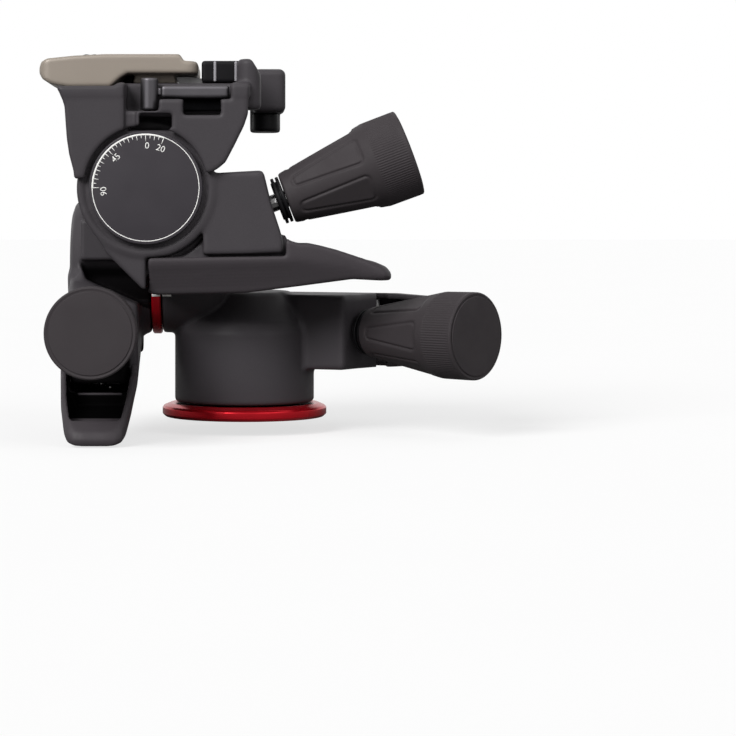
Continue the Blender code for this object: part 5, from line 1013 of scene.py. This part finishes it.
def knob_surface(ridges, panels):
    """A knob: its radius is a function of the place u along it and the angle a round it.

    The profile gives the plain radius. On the taper each panel is a flat let into the cone, framed by a groove whose
    depth falls off with the distance from the panel's outline; on the band a cosine of the angle raises the ridges.
    """
    profile = np.array(smoothed_profile(
        ((44.4, 3.4), (44.4, 9.0, 0.9), (77.5, 15.3, 2.0), (89.9, 15.4, 0.3), (90.3, 14.9, 0.2), (90.15, 14.3, 0.1),
         (90.15, 11.15, 0.1), (89.0, 11.1, 0.2), (89.0, 3.4)), closed=True, segments=6,
    ))
    rows = []
    for start, end in zip(profile, np.roll(profile, -1, axis=0)):
        length = np.linalg.norm(end - start)
        outer = start[1] > 8.0 and end[1] > 8.0 and start[0] < 90.0
        count = max(1, int(length / 0.42)) if outer and length > 0.8 else 1
        rows.append(start + (end - start) * (np.arange(count) / count)[:, None])
    profile = np.concatenate(rows)
    sides = ridges * 5
    angle = np.arange(sides)[None] * 2 * math.pi / sides
    u, r = profile[:, :1], profile[:, 1:]
    pitch = 2 * math.pi / panels
    away = (angle + pitch / 2) % pitch - pitch / 2
    # A panel is narrow at the foot of the taper and widens by 0.132 mm on each side for every mm along the knob
    foot, head, foot_half, head_half = 48.8, 73.0, 1.5, 4.7
    outline = (foot, -foot_half), (head, -head_half), (head, head_half), (foot, foot_half)
    distance = polygon(u, r * away, outline, 1.1)
    outside = r > 8.9
    edge_angle = np.clip((foot_half + (u - foot) * 0.132) / r, 0, 0.5)
    sunk = r * (1 - np.cos(edge_angle) / np.cos(np.clip(away, -0.6, 0.6)))
    step = 1 / (1 + np.exp((distance + 0.1) / 0.10))
    groove = 0.55 * np.exp(-((distance - 0.45) / 0.55) ** 2)
    taper = (u > 46.0) & (u < 77.0) & outside
    radius = r - np.where(taper, np.maximum(sunk, 0) * step + groove, 0)
    # The ridges fade in and out at the band's two ends
    band = 1 / (1 + np.exp(-(u - 77.6) / 0.25)) * 1 / (1 + np.exp((u - 88.9) / 0.2)) * outside
    radius = radius + band * (0.09 * np.cos(ridges * angle) - 0.05)
    points = np.stack([u + 0 * angle, radius * np.cos(angle), radius * np.sin(angle)], axis=2)
    return points.reshape(-1, 3), ring_faces(len(profile), sides, True)


class TRIPODHEAD_OT_knobs(Operator):
    """Three knobs with their end caps and two-ring collars"""

    bl_idname = "tripodhead.knobs"
    bl_label = "Knobs"

    def execute(self, context):
        sizes = context.scene.tripod_head_sizes
        points, faces = knob_surface(sizes.knob_ridges, sizes.knob_panels)
        for label in UNITS:
            body, place = label + "_knob", partial(in_unit, label=label)
            piece_of(label + "_knob_grip", place(points), faces, body, "moulded grip rubber", "knob_rubber", body,
                     weld=True)
            turned_piece(
                label + "_end_cap",
                ((89.2, 0.0), (89.2, 11.0, 0.1), (90.2, 11.0), (90.2, 14.0, 0.08), (90.5, 13.85, 0.2), (90.47, 8.0),
                 (90.42, 4.0), (90.45, 0.0)),
                120, place, body, "moulded grip rubber", "black_plastic", label + "_knob_cap",
            )
            turned_piece(
                label + "_collar_rings",
                ((40.8, 3.4), (40.8, 6.8, 0.2), (41.2, 6.8), (41.2, 8.3, 0.3), (42.3, 8.3, 0.3), (42.3, 6.8),
                 (42.9, 6.8), (42.9, 8.3, 0.3), (44.0, 8.3, 0.3), (44.0, 3.4)),
                96, place, body, "black acetal", "black_plastic", label + "_collar", closed=True,
            )
        return {"FINISHED"}


# The finish of a solid that stays is the first whose words its name holds, or else the castings' powder coat
INNER_FINISHES = {
    "turned steel": ("worm_shaft", "lever_pin", "spindle", "axle", "bolt", "screw", "nut", "clamp_jaw"),
    "spring wire": ("lever_spring",),
    "gear brass": ("worm_wheel", "insert"),
    "sintered bronze": ("worm_carrier", "bush"),
    "level liquid": ("vial",),
    "black acetal": ("base_plate",),
}


class TRIPODHEAD_OT_inner_parts(Operator):
    """Finishes of the solids that stay: gears, shafts, carriers, bushes, pins, nuts and springs"""

    bl_idname = "tripodhead.inner_parts"
    bl_label = "Inner parts"

    def execute(self, context):
        for name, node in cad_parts.items():
            found = [look for look, words in INNER_FINISHES.items() if any(word in name for word in words)]
            for place in node.material_slots:
                place.material = finish(found[0] if found else "charcoal powder coat")
        return {"FINISHED"}


OPERATORS = (
    TRIPODHEAD_OT_stage, TRIPODHEAD_OT_inner_parts, TRIPODHEAD_OT_base, TRIPODHEAD_OT_pan_housing,
    TRIPODHEAD_OT_side_housing, TRIPODHEAD_OT_front_housing, TRIPODHEAD_OT_dial, TRIPODHEAD_OT_platform,
    TRIPODHEAD_OT_camera_plate, TRIPODHEAD_OT_clamp, TRIPODHEAD_OT_wing_levers, TRIPODHEAD_OT_knobs,
)


class TRIPODHEAD_PT_sidebar(Panel):
    """The head's sizes, colours and pieces"""

    bl_label = "Geared tripod head"
    bl_idname = "TRIPODHEAD_PT_sidebar"
    bl_space_type = "VIEW_3D"
    bl_region_type = "UI"
    bl_category = "Tripod head"

    def draw(self, context):
        for group in (context.scene.tripod_head_sizes, context.scene.tripod_head_colours):
            for name in group.bl_rna.properties.keys():
                if name not in ("rna_type", "name"):
                    self.layout.prop(group, name)
        for operator in OPERATORS:
            self.layout.operator(operator.bl_idname)


CLASSES = (TripodHeadSizes, TripodHeadColours) + OPERATORS + (TRIPODHEAD_PT_sidebar,)


def register():
    for item in CLASSES:
        bpy.utils.register_class(item)
    bpy.types.Scene.tripod_head_sizes = PointerProperty(type=TripodHeadSizes)
    bpy.types.Scene.tripod_head_colours = PointerProperty(type=TripodHeadColours)


def unregister():
    del bpy.types.Scene.tripod_head_colours
    del bpy.types.Scene.tripod_head_sizes
    for item in reversed(CLASSES):
        bpy.utils.unregister_class(item)


def main():
    register()
    for operator in OPERATORS:
        group, name = operator.bl_idname.split(".")
        getattr(getattr(bpy.ops, group), name)()


if __name__ == "__main__":
    main()
